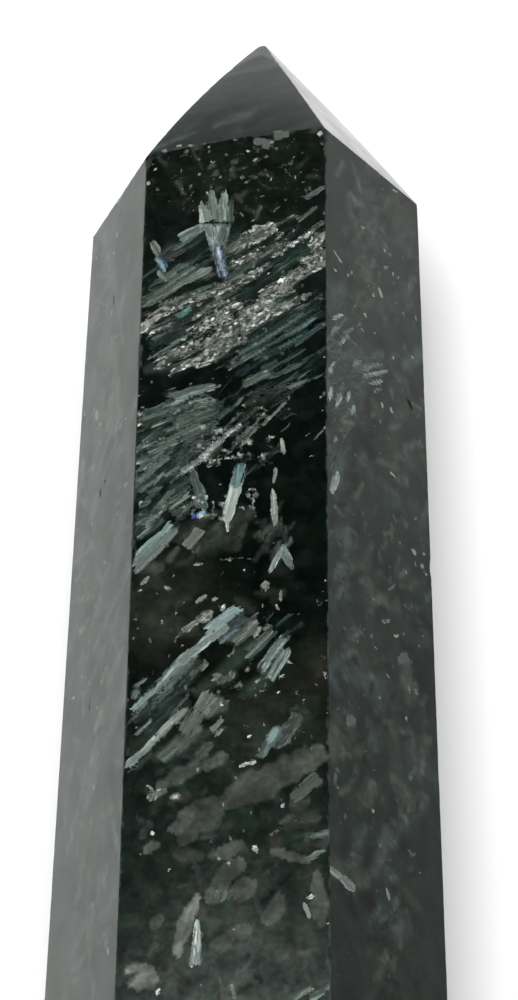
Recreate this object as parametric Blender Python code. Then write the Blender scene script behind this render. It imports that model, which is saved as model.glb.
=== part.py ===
"""A polished astrophyllite point: one six-sided piece of dark rock with a six-faced tip.

The stone lies on one of its long faces. X runs across it, Y runs along it toward the tip and
Z points up. The origin is under its middle, on the surface that it lies on. Units are metres.
"""

import bmesh
import bpy
import numpy as np

MM = 0.001

# Driving dimensions
LENGTH = 98.0 * MM  # from the flat base to the blunt end of the tip
TIP_LENGTH = 17.7 * MM  # from the shoulder to the point where the ridges would meet
SIDE = 13.0 * MM  # one side of the six-sided section at the shoulder
BASE_GROWTH = 1.031  # the section at the base, as a share of the section at the shoulder
BLUNTING = 0.48 * MM  # how far short of the sharp point the worn tip ends
TIP_OFFSET_X = 0.7 * MM  # how far the tip sits to the right of the stone's axis
EDGE_BEVEL = 0.15 * MM  # how far polishing has cut each edge back

# The outline of the section, one corner after the other around the axis. The stone was cut
# by hand, so each corner is a little off the regular hexagon. The columns are the corner's
# direction in degrees from +X toward +Z, its shift to the right at the shoulder and at the
# base, its shift toward the tip at the shoulder, and how far its ridge bows outward, in mm.
CORNERS = (
    (0, 0.00, 0.10, 0.70, 0.20),
    (60, 0.35, 0.15, 0.30, 0.05),
    (120, 0.05, 0.50, -1.15, 0.50),
    (180, 0.20, -0.10, -0.35, 0.30),
    (240, 0.00, 0.00, -0.40, 0.20),
    (300, 0.00, 0.00, 0.30, 0.20),
)

# How finely the surface is divided
SPANS_PER_SIDE = 4
PRISM_SPANS = 7
TIP_SPANS = 9
TIP_ROUND_START = 0.035  # share of the ridge, from the sharp point, where the blunt end begins
SHARP_ANGLE = np.radians(12.0)  # edges that turn more than this stay crisp

# Look of the polished stone
STONE_COLOUR = (0.016, 0.018, 0.017, 1.0)
STONE_ROUGHNESS = 0.14


def regular_corners(side):
    """Return the corners of a regular hexagon of this side that rests on the plane z = 0."""
    angle = np.radians([corner[0] for corner in CORNERS])
    apothem = side * np.sqrt(3.0) / 2.0
    return np.stack([side * np.cos(angle), side * np.sin(angle) + apothem], axis=1)


def shoulder_corners():
    """Return the six corners where the long faces end and the tip begins, as (6, 3)."""
    flat = regular_corners(SIDE)
    shift_x = np.array([corner[1] for corner in CORNERS]) * MM
    shift_y = np.array([corner[3] for corner in CORNERS]) * MM
    height = LENGTH / 2.0 + BLUNTING - TIP_LENGTH
    return np.stack([flat[:, 0] + shift_x, height + shift_y, flat[:, 1]], axis=1)


def base_corners():
    """Return the six corners of the flat base, as (6, 3)."""
    flat = regular_corners(SIDE * BASE_GROWTH)
    shift_x = np.array([corner[2] for corner in CORNERS]) * MM
    return np.stack([flat[:, 0] + shift_x, np.full(6, -LENGTH / 2.0), flat[:, 1]], axis=1)


def sharp_point():
    """Return the point where the six ridges of the tip would meet."""
    axis_height = SIDE * np.sqrt(3.0) / 2.0
    return np.array([TIP_OFFSET_X, LENGTH / 2.0 + BLUNTING, axis_height])


def prism_corners(share):
    """Return the section's corners at a share of the way from the shoulder to the base."""
    return (1.0 - share) * shoulder_corners() + share * base_corners()


def tip_corners(share):
    """Return the ridges' points at a share of the way from the sharp point to the shoulder.

    Each ridge is a straight line that bows outward by 4 t (1 - t) of its own depth.
    """
    point = sharp_point()
    shoulder = shoulder_corners()
    outward = shoulder - point
    outward[:, 1] = 0.0
    outward /= np.linalg.norm(outward, axis=1, keepdims=True)
    depth = np.array([corner[4] for corner in CORNERS])[:, None] * MM
    bow = 4.0 * share * (1.0 - share) * depth * outward
    return point + share * (shoulder - point) + bow


def section(corners, inset=0.0):
    """Return one closed loop of points along a section, with each corner cut back.

    Every side keeps its straight run between the two cuts. An inset moves the loop toward
    the section's middle, which is how the edge of the base is cut back too.
    """
    middle = corners.mean(axis=0)
    reach = np.linalg.norm(corners - middle, axis=1, keepdims=True)
    corners = middle + (corners - middle) * (1.0 - inset / reach)
    following = np.roll(corners, -1, axis=0)
    length = np.linalg.norm(following - corners, axis=1)
    cut = np.minimum(EDGE_BEVEL / length, 0.25)
    steps = np.linspace(0.0, 1.0, SPANS_PER_SIDE + 1)
    along = cut[:, None] + (1.0 - 2.0 * cut[:, None]) * steps[None, :]
    points = corners[:, None, :] + along[:, :, None] * (following - corners)[:, None, :]
    return points.reshape(-1, 3)


def stone_loops():
    """Return the loops of the whole stone from the base to the blunt end of the tip."""
    prism_length = float(np.linalg.norm(prism_corners(1.0)[0] - prism_corners(0.0)[0]))
    ridge_length = float(np.linalg.norm(tip_corners(1.0)[0] - sharp_point()))
    loops = [section(prism_corners(1.0), inset=EDGE_BEVEL)]
    first = 1.0 - EDGE_BEVEL / prism_length
    last = EDGE_BEVEL / prism_length
    for share in np.linspace(first, last, PRISM_SPANS + 1):
        loops.append(section(prism_corners(share)))
    for share in np.linspace(1.0 - EDGE_BEVEL / ridge_length, TIP_ROUND_START, TIP_SPANS + 1):
        loops.append(section(tip_corners(share)))
    return loops


def make_stone_mesh():
    """Build the stone's closed mesh: loops joined by quads, a flat base and a blunt tip."""
    bm = bmesh.new()
    rows = [[bm.verts.new(point) for point in loop] for loop in stone_loops()]
    count = len(rows[0])
    for lower, upper in zip(rows, rows[1:]):
        for i in range(count):
            j = (i + 1) % count
            bm.faces.new((lower[i], lower[j], upper[j], upper[i]))
    bm.faces.new(reversed(rows[0]))
    blunt_end = sharp_point()
    blunt_end[1] = LENGTH / 2.0
    summit = bm.verts.new(blunt_end)
    for i in range(count):
        bm.faces.new((rows[-1][i], rows[-1][(i + 1) % count], summit))
    bmesh.ops.recalc_face_normals(bm, faces=bm.faces)
    mesh = bpy.data.meshes.new("point")
    bm.to_mesh(mesh)
    bm.free()
    mesh.shade_smooth()
    mesh.set_sharp_from_angle(angle=SHARP_ANGLE)
    return mesh


def make_stone_material():
    """Make the polished near-black finish."""
    material = bpy.data.materials.new("astrophyllite")
    material.use_nodes = True
    shader = material.node_tree.nodes["Principled BSDF"]
    shader.inputs["Base Color"].default_value = STONE_COLOUR
    shader.inputs["Roughness"].default_value = STONE_ROUGHNESS
    shader.inputs["Metallic"].default_value = 0.0
    return material


def main():
    """Clear the scene and put the finished stone into it."""
    for old in list(bpy.data.objects):
        bpy.data.objects.remove(old)
    mesh = make_stone_mesh()
    mesh.materials.append(make_stone_material())
    stone = bpy.data.objects.new("point", mesh)
    bpy.context.scene.collection.objects.link(stone)


main()
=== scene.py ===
"""The looks of a polished astrophyllite point: one six-sided piece of near-black rock.

The stone lies on a long face with its tip toward +Y. Silvery, teal and bronze blades lie
flush in its polish. It is one closed surface: a fine grid of points on each polished face,
and narrow strips that join the grids along the worn edges. The blades are laid onto the
grids as a few smooth fields, such as the distance to a blade's outline, and the material
turns these fields into crisp blades, grains and specks. A few blades carry a painted glint
of colour, and a few grainy cells a painted near-white glint. Nothing is raised.

Lengths in this file are millimetres until a mesh is made.
"""

import logging
from dataclasses import dataclass
from dataclasses import field
from dataclasses import replace
from enum import Enum

import bpy
import numpy as np
from mathutils import Matrix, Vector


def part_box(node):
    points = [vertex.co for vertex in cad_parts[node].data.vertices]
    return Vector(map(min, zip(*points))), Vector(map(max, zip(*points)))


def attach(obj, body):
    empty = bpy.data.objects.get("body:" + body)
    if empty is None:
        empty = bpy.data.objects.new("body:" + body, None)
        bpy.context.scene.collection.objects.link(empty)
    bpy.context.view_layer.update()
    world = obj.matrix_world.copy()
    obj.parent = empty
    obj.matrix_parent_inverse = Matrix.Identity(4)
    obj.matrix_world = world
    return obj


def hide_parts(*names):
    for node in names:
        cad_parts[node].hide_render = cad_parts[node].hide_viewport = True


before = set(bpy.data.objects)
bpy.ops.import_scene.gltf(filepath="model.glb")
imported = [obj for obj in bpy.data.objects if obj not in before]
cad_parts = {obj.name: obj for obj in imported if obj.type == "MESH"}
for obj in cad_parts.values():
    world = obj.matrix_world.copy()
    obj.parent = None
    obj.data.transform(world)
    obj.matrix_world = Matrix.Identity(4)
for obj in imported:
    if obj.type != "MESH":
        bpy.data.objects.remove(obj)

MM = 0.001
NODE = "point"
BODY = "root"
PIECE = "astrophyllite_point"
LOG = logging.getLogger(PIECE)

# A hexagon's distance from its middle to a side, for a side of one
APOTHEM = float(np.sqrt(0.75))

# How many random values a wandering line and a rippled plane repeat after
LINE_KNOTS = 256
NET_KNOTS = 64

Array = np.ndarray
Socket = bpy.types.NodeSocket
Pair = tuple[float, float]
Triple = tuple[float, float, float]
Four = tuple[float, float, float, float]


# Screen colours, 0 to 255, of the blades from the brightest to the faintest, and of the rock
PEARL = (206, 216, 209)
SILVER = (138, 150, 144)
SAGE = (108, 122, 113)
MIST = (80, 92, 86)
TEAL = (66, 84, 81)
DEEP_TEAL = (38, 53, 52)
BRONZE_DYE = (100, 105, 98)
SMOKE = (76, 81, 75)
UMBER = (106, 110, 102)
BLACK_ROCK = (7, 15, 11)
BROWN_ROCK = (46, 49, 42)
GREEN_ROCK = (38, 48, 43)
UMBER_ROCK = (54, 57, 51)
RUST = (150, 96, 52)


def light(colour: Triple) -> Array:
    """Turn a screen colour into linear light: c / 12.92 below 0.04045, else ((c + 0.055) / 1.055) ^ 2.4."""
    shown = np.array(colour) / 255.0
    return np.where(shown < 0.04045, shown / 12.92, ((shown + 0.055) / 1.055) ** 2.4)


def ease(share: Array) -> Array:
    """Ease shares between 0 and 1, by s * s * (3 - 2 s)."""
    return share * share * (3.0 - 2.0 * share)


def unit(direction: Array | Triple) -> Array:
    """Bring a direction to length one."""
    return np.asarray(direction) / np.linalg.norm(direction)


def wander(place: Array, seed: int, pitch: float) -> Array:
    """Give smooth random values along a line.

    Seeded values between -1 and 1 sit one pitch apart, and each eases to the next.

    Args:
        place: Places along the line.
        seed: Chooses the values.
        pitch: Distance between two values.

    Returns:
        A value for each place.
    """
    knots = np.random.default_rng(seed).uniform(-1.0, 1.0, LINE_KNOTS)
    step = np.asarray(place) / pitch
    base = np.floor(step).astype(int)
    share = ease(step - base)
    return knots[base % LINE_KNOTS] * (1.0 - share) + knots[(base + 1) % LINE_KNOTS] * share


def ripple(across: Array, along: Array, seed: int, pitch: float) -> Array:
    """Give smooth random values over a plane.

    Seeded values between -1 and 1 sit at the corners of a square net, and ease into each
    other both ways.

    Args:
        across: Places along the net's first direction.
        along: Places along its second direction.
        seed: Chooses the values.
        pitch: Distance between two corners.

    Returns:
        A value for each place.
    """
    knots = np.random.default_rng(seed).uniform(-1.0, 1.0, (NET_KNOTS, NET_KNOTS))
    step = np.stack([across, along]) / pitch
    base = np.floor(step).astype(int)
    u, v = ease(step - base)
    i, j = base % NET_KNOTS
    next_i, next_j = (base + 1) % NET_KNOTS
    near = knots[i, j] * (1.0 - u) + knots[next_i, j] * u
    far = knots[i, next_j] * (1.0 - u) + knots[next_i, next_j] * u
    return near * (1.0 - v) + far * v


def show(name: str, data: bpy.types.ID) -> bpy.types.Object:
    """Put a new object that holds a mesh, a lamp or a camera into the scene.

    Args:
        name: What the object is called.
        data: What it holds.

    Returns:
        The object.
    """
    piece = bpy.data.objects.new(name, data)
    bpy.context.scene.collection.objects.link(piece)
    return piece


def aim(piece: bpy.types.Object, right: Array, up: Array, back: Array, place: Array) -> None:
    """Turn a camera or a lamp and put it in its place.

    Args:
        piece: The camera or lamp.
        right: Where its own right points.
        up: Where its own top points.
        back: The direction that it faces away from.
        place: Where it stands, in metres.
    """
    turn = np.eye(4)
    turn[:3] = np.stack([right, up, back, place], axis=1)
    piece.matrix_world = Matrix(turn.tolist())


@dataclass(frozen=True)
class PhotoView:
    """The photograph's camera, fitted to the stone's corners and edges in the picture."""

    eye: Triple = (18.43, -59.69, 146.04)
    forward: Triple = (-0.1169, 0.4425, -0.8891)
    up: Triple = (0.0486, 0.8967, 0.4399)
    focal_px: float = 2060.0
    width_px: int = 518
    height_px: int = 1000
    sensor: float = 36.0
    clip: Pair = (0.01, 20.0)

    def axes(self) -> Array:
        """Give the camera's own directions.

        Returns:
            Its right, up and forward directions as rows at right angles.
        """
        forward = unit(self.forward)
        up = unit(np.array(self.up) - forward * np.dot(self.up, forward))
        return np.stack([np.cross(forward, up), up, forward])

    def pixels(self, points: Array) -> Array:
        """Find where points show in the photograph.

        A point's offset along the camera's right and up, divided by its depth, is scaled by
        the focal length and counted from the middle of the picture.

        Args:
            points: Points of the stone, shape (..., 3).

        Returns:
            Pixel places, shape (..., 2).
        """
        seen = (points - np.array(self.eye)) @ self.axes().T
        across = self.width_px / 2.0 + self.focal_px * seen[..., 0] / seen[..., 2]
        down = self.height_px / 2.0 - self.focal_px * seen[..., 1] / seen[..., 2]
        return np.stack([across, down], axis=-1)

    def make_camera(self) -> None:
        """Put the camera into the scene."""
        data = bpy.data.cameras.new("camera")
        data.sensor_width = self.sensor
        data.lens = self.focal_px / self.height_px * self.sensor
        data.clip_start, data.clip_end = self.clip
        camera = show("camera", data)
        right, up, forward = self.axes()
        aim(camera, right, up, -forward, np.array(self.eye) * MM)
        bpy.context.scene.camera = camera


class Run(Enum):
    """The kinds of edge on the stone. Each value seeds the faults of its kind."""

    LONG = 10
    RIDGE = 20
    SHOULDER = 30
    BASE = 40


@dataclass(frozen=True)
class Corner:
    """A corner of the section: its direction from +X toward +Z in degrees, and its faults.

    The faults are its shift to the right at the shoulder and at the base, its shift toward
    the tip at the shoulder, and how far its ridge bows outward.
    """

    direction: float
    shift: float
    base_shift: float
    forward: float
    bow: float


@dataclass(frozen=True)
class Chip:
    """A small chip on an edge: its place along it, how deep it is and half its length."""

    run: Run
    number: int
    place: float
    depth: float
    reach: float


@dataclass(frozen=True)
class StoneShape:
    """The cut stone: its section, its tip and the small faults of cutting by hand.

    Shoulder bows say how far each face's shoulder bows toward the tip, and nibbles how deep
    the small faults along each long edge are. Other edges take the other nibbles. Wear,
    nibbles, the stretches that have them, and the floors of chips wander at their pitches.
    """

    length: float
    tip_length: float = 17.7
    side: float = 13.0
    base_growth: float = 1.031
    blunting: float = 0.48
    tip_offset: float = 0.7
    tip_start: float = 0.035
    bevel: float = 0.05
    shoulder_bows: tuple[float, ...] = (0.0, 0.38, 0.0, 0.0, 0.0, 0.0)
    nibbles: tuple[float, ...] = (0.05, 0.28, 0.28, 0.05, 0.15, 0.15)
    other_nibbles: float = 0.3
    nibble_start: float = 0.35
    stretch_start: float = -0.3
    wear_pitch: float = 3.0
    nibble_pitch: float = 0.4
    stretch_pitch: float = 5.0
    chip_pitch: float = 0.3
    swell: float = 0.10
    corners: tuple[Corner, ...] = (
        Corner(0, 0.00, 0.10, 0.70, 0.20),
        Corner(60, 0.35, 0.15, 0.30, 0.05),
        Corner(120, 0.05, 0.50, -1.15, 0.50),
        Corner(180, 0.20, -0.10, -0.35, 0.30),
        Corner(240, 0.00, 0.00, -0.40, 0.20),
        Corner(300, 0.00, 0.00, 0.30, 0.20),
    )
    chips: tuple[Chip, ...] = (
        Chip(Run.LONG, 0, 31.0, 0.22, 0.8),
        Chip(Run.LONG, 1, 0.3, 0.50, 1.0),
        Chip(Run.LONG, 2, 0.2, 0.45, 0.9),
        Chip(Run.LONG, 2, 17.8, 0.22, 0.7),
        Chip(Run.SHOULDER, 1, 0.4, 0.45, 0.9),
        Chip(Run.SHOULDER, 1, 12.6, 0.40, 1.0),
        Chip(Run.SHOULDER, 2, 6.2, 0.45, 0.9),
        Chip(Run.LONG, 4, 41.0, 0.35, 1.1),
        Chip(Run.LONG, 5, 60.0, 0.30, 0.8),
    )

    def regular(self, side: float) -> Array:
        """Return the corners of a regular hexagon of this side that rests on z = 0."""
        angle = np.radians([corner.direction for corner in self.corners])
        return np.stack([side * np.cos(angle), side * (np.sin(angle) + APOTHEM)], axis=1)

    def shoulder(self) -> Array:
        """Place the six corners between the long faces and the tip.

        Returns:
            The corners, shape (6, 3).
        """
        x, z = self.regular(self.side).T
        shift = np.array([corner.shift for corner in self.corners])
        forward = np.array([corner.forward for corner in self.corners])
        y = self.length / 2.0 + self.blunting - self.tip_length
        return np.stack([x + shift, y + forward, z], axis=1)

    def base(self) -> Array:
        """Place the six corners of the flat base.

        Returns:
            The corners, shape (6, 3).
        """
        x, z = self.regular(self.side * self.base_growth).T
        shift = np.array([corner.base_shift for corner in self.corners])
        return np.stack([x + shift, np.full(6, -self.length / 2.0), z], axis=1)

    def sharp_point(self) -> Array:
        """Return the point where the six ridges of the tip would meet."""
        return np.array([self.tip_offset, self.length / 2.0 + self.blunting, self.side * APOTHEM])

    def long_length(self) -> float:
        """Return the length of the long faces."""
        return self.length + self.blunting - self.tip_length

    def ridge(self, number: int, share: Array) -> Array:
        """Follow one ridge of the tip.

        The ridge is straight from the sharp point to its shoulder corner, and bows outward
        by 4 t (1 - t) of its own depth at the share t.

        Args:
            number: Which corner the ridge ends at.
            share: Shares of the way from the sharp point to the shoulder.

        Returns:
            Points, with one more axis of three than share.
        """
        point = self.sharp_point()
        corner = self.shoulder()[number % 6]
        outward = unit((corner - point) * np.array([1.0, 0.0, 1.0]))
        share = np.asarray(share)[..., None]
        bow = 4.0 * share * (1.0 - share) * self.corners[number % 6].bow
        return point + share * (corner - point) + bow * outward

    def long_surface(self, number: int, across: Array, along: Array) -> Array:
        """Place points on a long face.

        The face blends in a straight line from corner to corner across, and from the
        shoulder to the base along.

        Args:
            number: The face, between this corner and the next.
            across: Shares of the way across.
            along: Shares of the way from the shoulder to the base.

        Returns:
            Points, with one more axis of three.
        """
        across = across[..., None]
        along = along[..., None]
        top, bottom = (
            corners[number] * (1.0 - across) + corners[(number + 1) % 6] * across
            for corners in (self.shoulder(), self.base())
        )
        return top * (1.0 - along) + bottom * along

    def tip_surface(self, number: int, across: Array, share: Array) -> Array:
        """Place points on a face of the tip.

        The face blends in a straight line between its two ridges, and swells outward by
        4 t (1 - t) times 4 u (1 - u) of the swell, as hand polishing leaves it. It moves
        toward the tip by t ^ 3 of the shoulder's bow.

        Args:
            number: The face, between this ridge and the next.
            across: Shares u of the way across.
            share: Shares t of the way from the sharp point to the shoulder.

        Returns:
            Points, with one more axis of three.
        """
        first = self.ridge(number, share)
        second = self.ridge(number + 1, share)
        middle = (self.shoulder()[number] + self.shoulder()[(number + 1) % 6]) / 2.0
        outward = unit((middle - self.sharp_point()) * np.array([1.0, 0.0, 1.0]))
        swell = self.swell * 16.0 * share * (1.0 - share) * across * (1.0 - across)
        forward = (share**3 * self.bow(number, across))[..., None] * np.array([0.0, 1.0, 0.0])
        across = across[..., None]
        return first * (1.0 - across) + second * across + swell[..., None] * outward + forward

    def bow(self, number: int, across: Array) -> Array:
        """Give how far a shoulder bows toward the tip: (4 u (1 - u)) ^ 0.6, more where u is high."""
        arch = np.clip(4.0 * across * (1.0 - across), 0.0, 1.0) ** 0.6
        return self.shoulder_bows[number] * arch * (0.75 + 0.5 * across)

    def cut(self, run: Run, number: int, place: Array) -> Array:
        """Give how far an edge is cut back.

        It is the bevel, a quarter uneven, with sharp small nibbles where a random line rises
        above a threshold, and with the named chips as shallow bowls, 1 - d * d of their
        depth, whose floors vary by a fifth.

        Args:
            run: The kind of edge.
            number: Which edge of that kind.
            place: Places along the edge.

        Returns:
            The cut at each place.
        """
        seed = run.value + number % 6
        worn = self.bevel * (1.0 + 0.25 * wander(place, seed, self.wear_pitch))
        nibble = np.clip(wander(place, seed + 100, self.nibble_pitch) - self.nibble_start, 0.0, None)
        depth = self.nibbles[number % 6] if run is Run.LONG else self.other_nibbles
        stretch = wander(place, seed + 200, self.stretch_pitch) > self.stretch_start
        cut = worn + depth * nibble * stretch
        for chip in self.chips:
            if chip.run is run and chip.number == number % 6:
                bowl = np.clip(1.0 - ((place - chip.place) / chip.reach) ** 2, 0.0, None)
                rough = 0.8 + 0.2 * wander(place, seed + 300, self.chip_pitch)
                cut = np.maximum(cut, worn + chip.depth * bowl * rough)
        return cut


@dataclass(frozen=True)
class Border:
    """One border of a face: the numbers of its points and their places along it, rising."""

    points: Array
    at: Array


@dataclass
class Face:
    """One polished face: a grid of points with its own flat measure in millimetres.

    Page is where it lies on the flat sheet that holds every face. First is the number of its
    first point in the whole mesh. The columns of a closed face close on themselves.
    """

    name: str
    points: Array
    across: Array
    along: Array
    edge_gap: Array
    page: Pair
    page_scale: float = 1.0
    closed: bool = False
    first: int = 0

    def index(self) -> Array:
        """Return the numbers of the grid's points in the whole mesh."""
        return self.first + np.arange(self.across.size).reshape(self.across.shape)

    def side(self, column: int) -> Border:
        """Return a border that runs along the face."""
        return Border(self.index()[:, column], self.along[:, column])

    def end(self, row: int) -> Border:
        """Return a border that runs across the face."""
        return Border(self.index()[row], self.across[row])

    def sheet(self) -> Array:
        """Return where the grid's points lie on the flat sheet."""
        flat = np.stack([self.across, -self.along], axis=-1)
        return np.array(self.page) + flat * self.page_scale

    def normals(self) -> Array:
        """Find the outward direction at each point: the cross product of both slopes.

        Returns:
            The directions, in the shape of the points.
        """
        points = self.points
        if self.closed:
            points = np.concatenate([points[:, -1:], points, points[:, :1]], axis=1)
        down = np.gradient(points, axis=0)
        sideways = np.gradient(points, axis=1)
        normal = np.cross(sideways, down)
        if self.closed:
            normal = normal[:, 1:-1]
        return normal / np.linalg.norm(normal, axis=-1, keepdims=True)


class Form(Enum):
    """The outlines that a mark in the polish can have."""

    LATH = "parallel sides and splintered ends"
    PLATE = "parallel sides and clean ends"
    LEAF = "pointed at both ends"
    WEDGE = "wide at its start and pointed at its end"
    BLOCK = "an uneven lump"
    CRACK = "a thin dark gap"
    VEIL = "a soft cloud of fine splinters, which belongs to the rock"


@dataclass(frozen=True)
class Look:
    """How marks look: their colour and outline, and how streaky, grainy, shiny and soft they are.

    Soft is the width in millimetres over which they break up into splinters at their border.
    For a veil it is the share of its half width over which it fades.
    """

    dye: Triple
    form: Form = Form.LATH
    streak: float = 0.6
    grain: float = 0.0
    shine: float = 0.3
    soft: float = 0.04

    def group(self, *runs: tuple[float, ...]) -> "Group":
        """Return marks of this look, one for each run."""
        return Group(self, runs)


@dataclass(frozen=True)
class Mark:
    """One blade, lump or gap, from its start to its end, with its full width.

    Places and sizes are photo pixels on the faces that the photograph shows, and millimetres
    on the others. Fade is how much brighter its end is than its start, tone how bright it is
    as a whole, and bend how far its middle bows sideways, as a share of its length.
    """

    start: Pair
    end: Pair
    width: float
    look: Look
    fade: float = 0.0
    tone: float = 1.0
    bend: float = 0.0

    def colours(self, share: Array) -> Array:
        """Return its linear colour at shares of its length: 1 + fade * (s - 0.5) times its own."""
        fade = 1.0 + self.fade * (share[:, None] - 0.5)
        return np.clip(light(self.look.dye) * self.tone * fade, 0.0, 1.0)


@dataclass(frozen=True)
class Group:
    """Marks of one look. A run holds its start, its end and its full width."""

    look: Look
    runs: tuple[tuple[float, ...], ...]
    fade: float = 0.0

    def marks(self) -> list[Mark]:
        """Return the group's marks, in its own units."""
        return [Mark(run[:2], run[2:4], run[4], self.look, self.fade) for run in self.runs]


@dataclass(frozen=True)
class Scatter:
    """Many like marks, strewn over an oval area at about one slope.

    The slope counts from the face's right toward its tip, in degrees, and spread is how far
    it strays.
    """

    centre: Pair
    reach: Pair
    slope: float
    spread: float
    count: int
    length: Pair
    width: Pair
    dyes: tuple[Triple, ...]
    look: Look
    seed: int = 0
    tones: Pair = (0.3, 1.4)
    bend_spread: float = 0.015
    fade_spread: float = 0.4

    def marks(self) -> list[Mark]:
        """Draw the marks.

        Middles are spread evenly over the oval: the root of a random share times the reach,
        at a random angle. Slopes are normal around the stated one, and brightness is the
        lesser tone plus the tones' difference times the square of a random share.

        Returns:
            The marks, in the same units as the area.
        """
        draw = np.random.default_rng(self.seed)
        radius = np.sqrt(draw.random(self.count))
        around = draw.random(self.count) * 2.0 * np.pi
        sway = np.stack([radius * np.cos(around), radius * np.sin(around)], axis=1)
        middle = np.array(self.centre) + sway * np.array(self.reach)
        angle = np.radians(draw.normal(self.slope, self.spread, self.count))
        length = draw.uniform(*self.length, self.count)
        half = 0.5 * length[:, None] * np.stack([np.cos(angle), -np.sin(angle)], axis=1)
        width = draw.uniform(*self.width, self.count)
        choice = draw.integers(0, len(self.dyes), self.count)
        tone = self.tones[0] + (self.tones[1] - self.tones[0]) * draw.random(self.count) ** 2
        bend = draw.normal(0.0, self.bend_spread, self.count)
        fade = draw.normal(0.0, self.fade_spread, self.count)
        looks = [replace(self.look, dye=self.dyes[number]) for number in choice]
        columns = zip((middle - half).tolist(), (middle + half).tolist(), width, looks, fade, tone, bend)
        return [Mark(*column) for column in columns]


Layers = tuple[Group | Scatter, ...]


@dataclass(frozen=True)
class Stain:
    """A soft area where the rock between the blades has another colour and more specks."""

    centre: Pair
    reach: Pair
    dye: Triple
    strength: float = 1.0
    specks: float = 0.5


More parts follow.
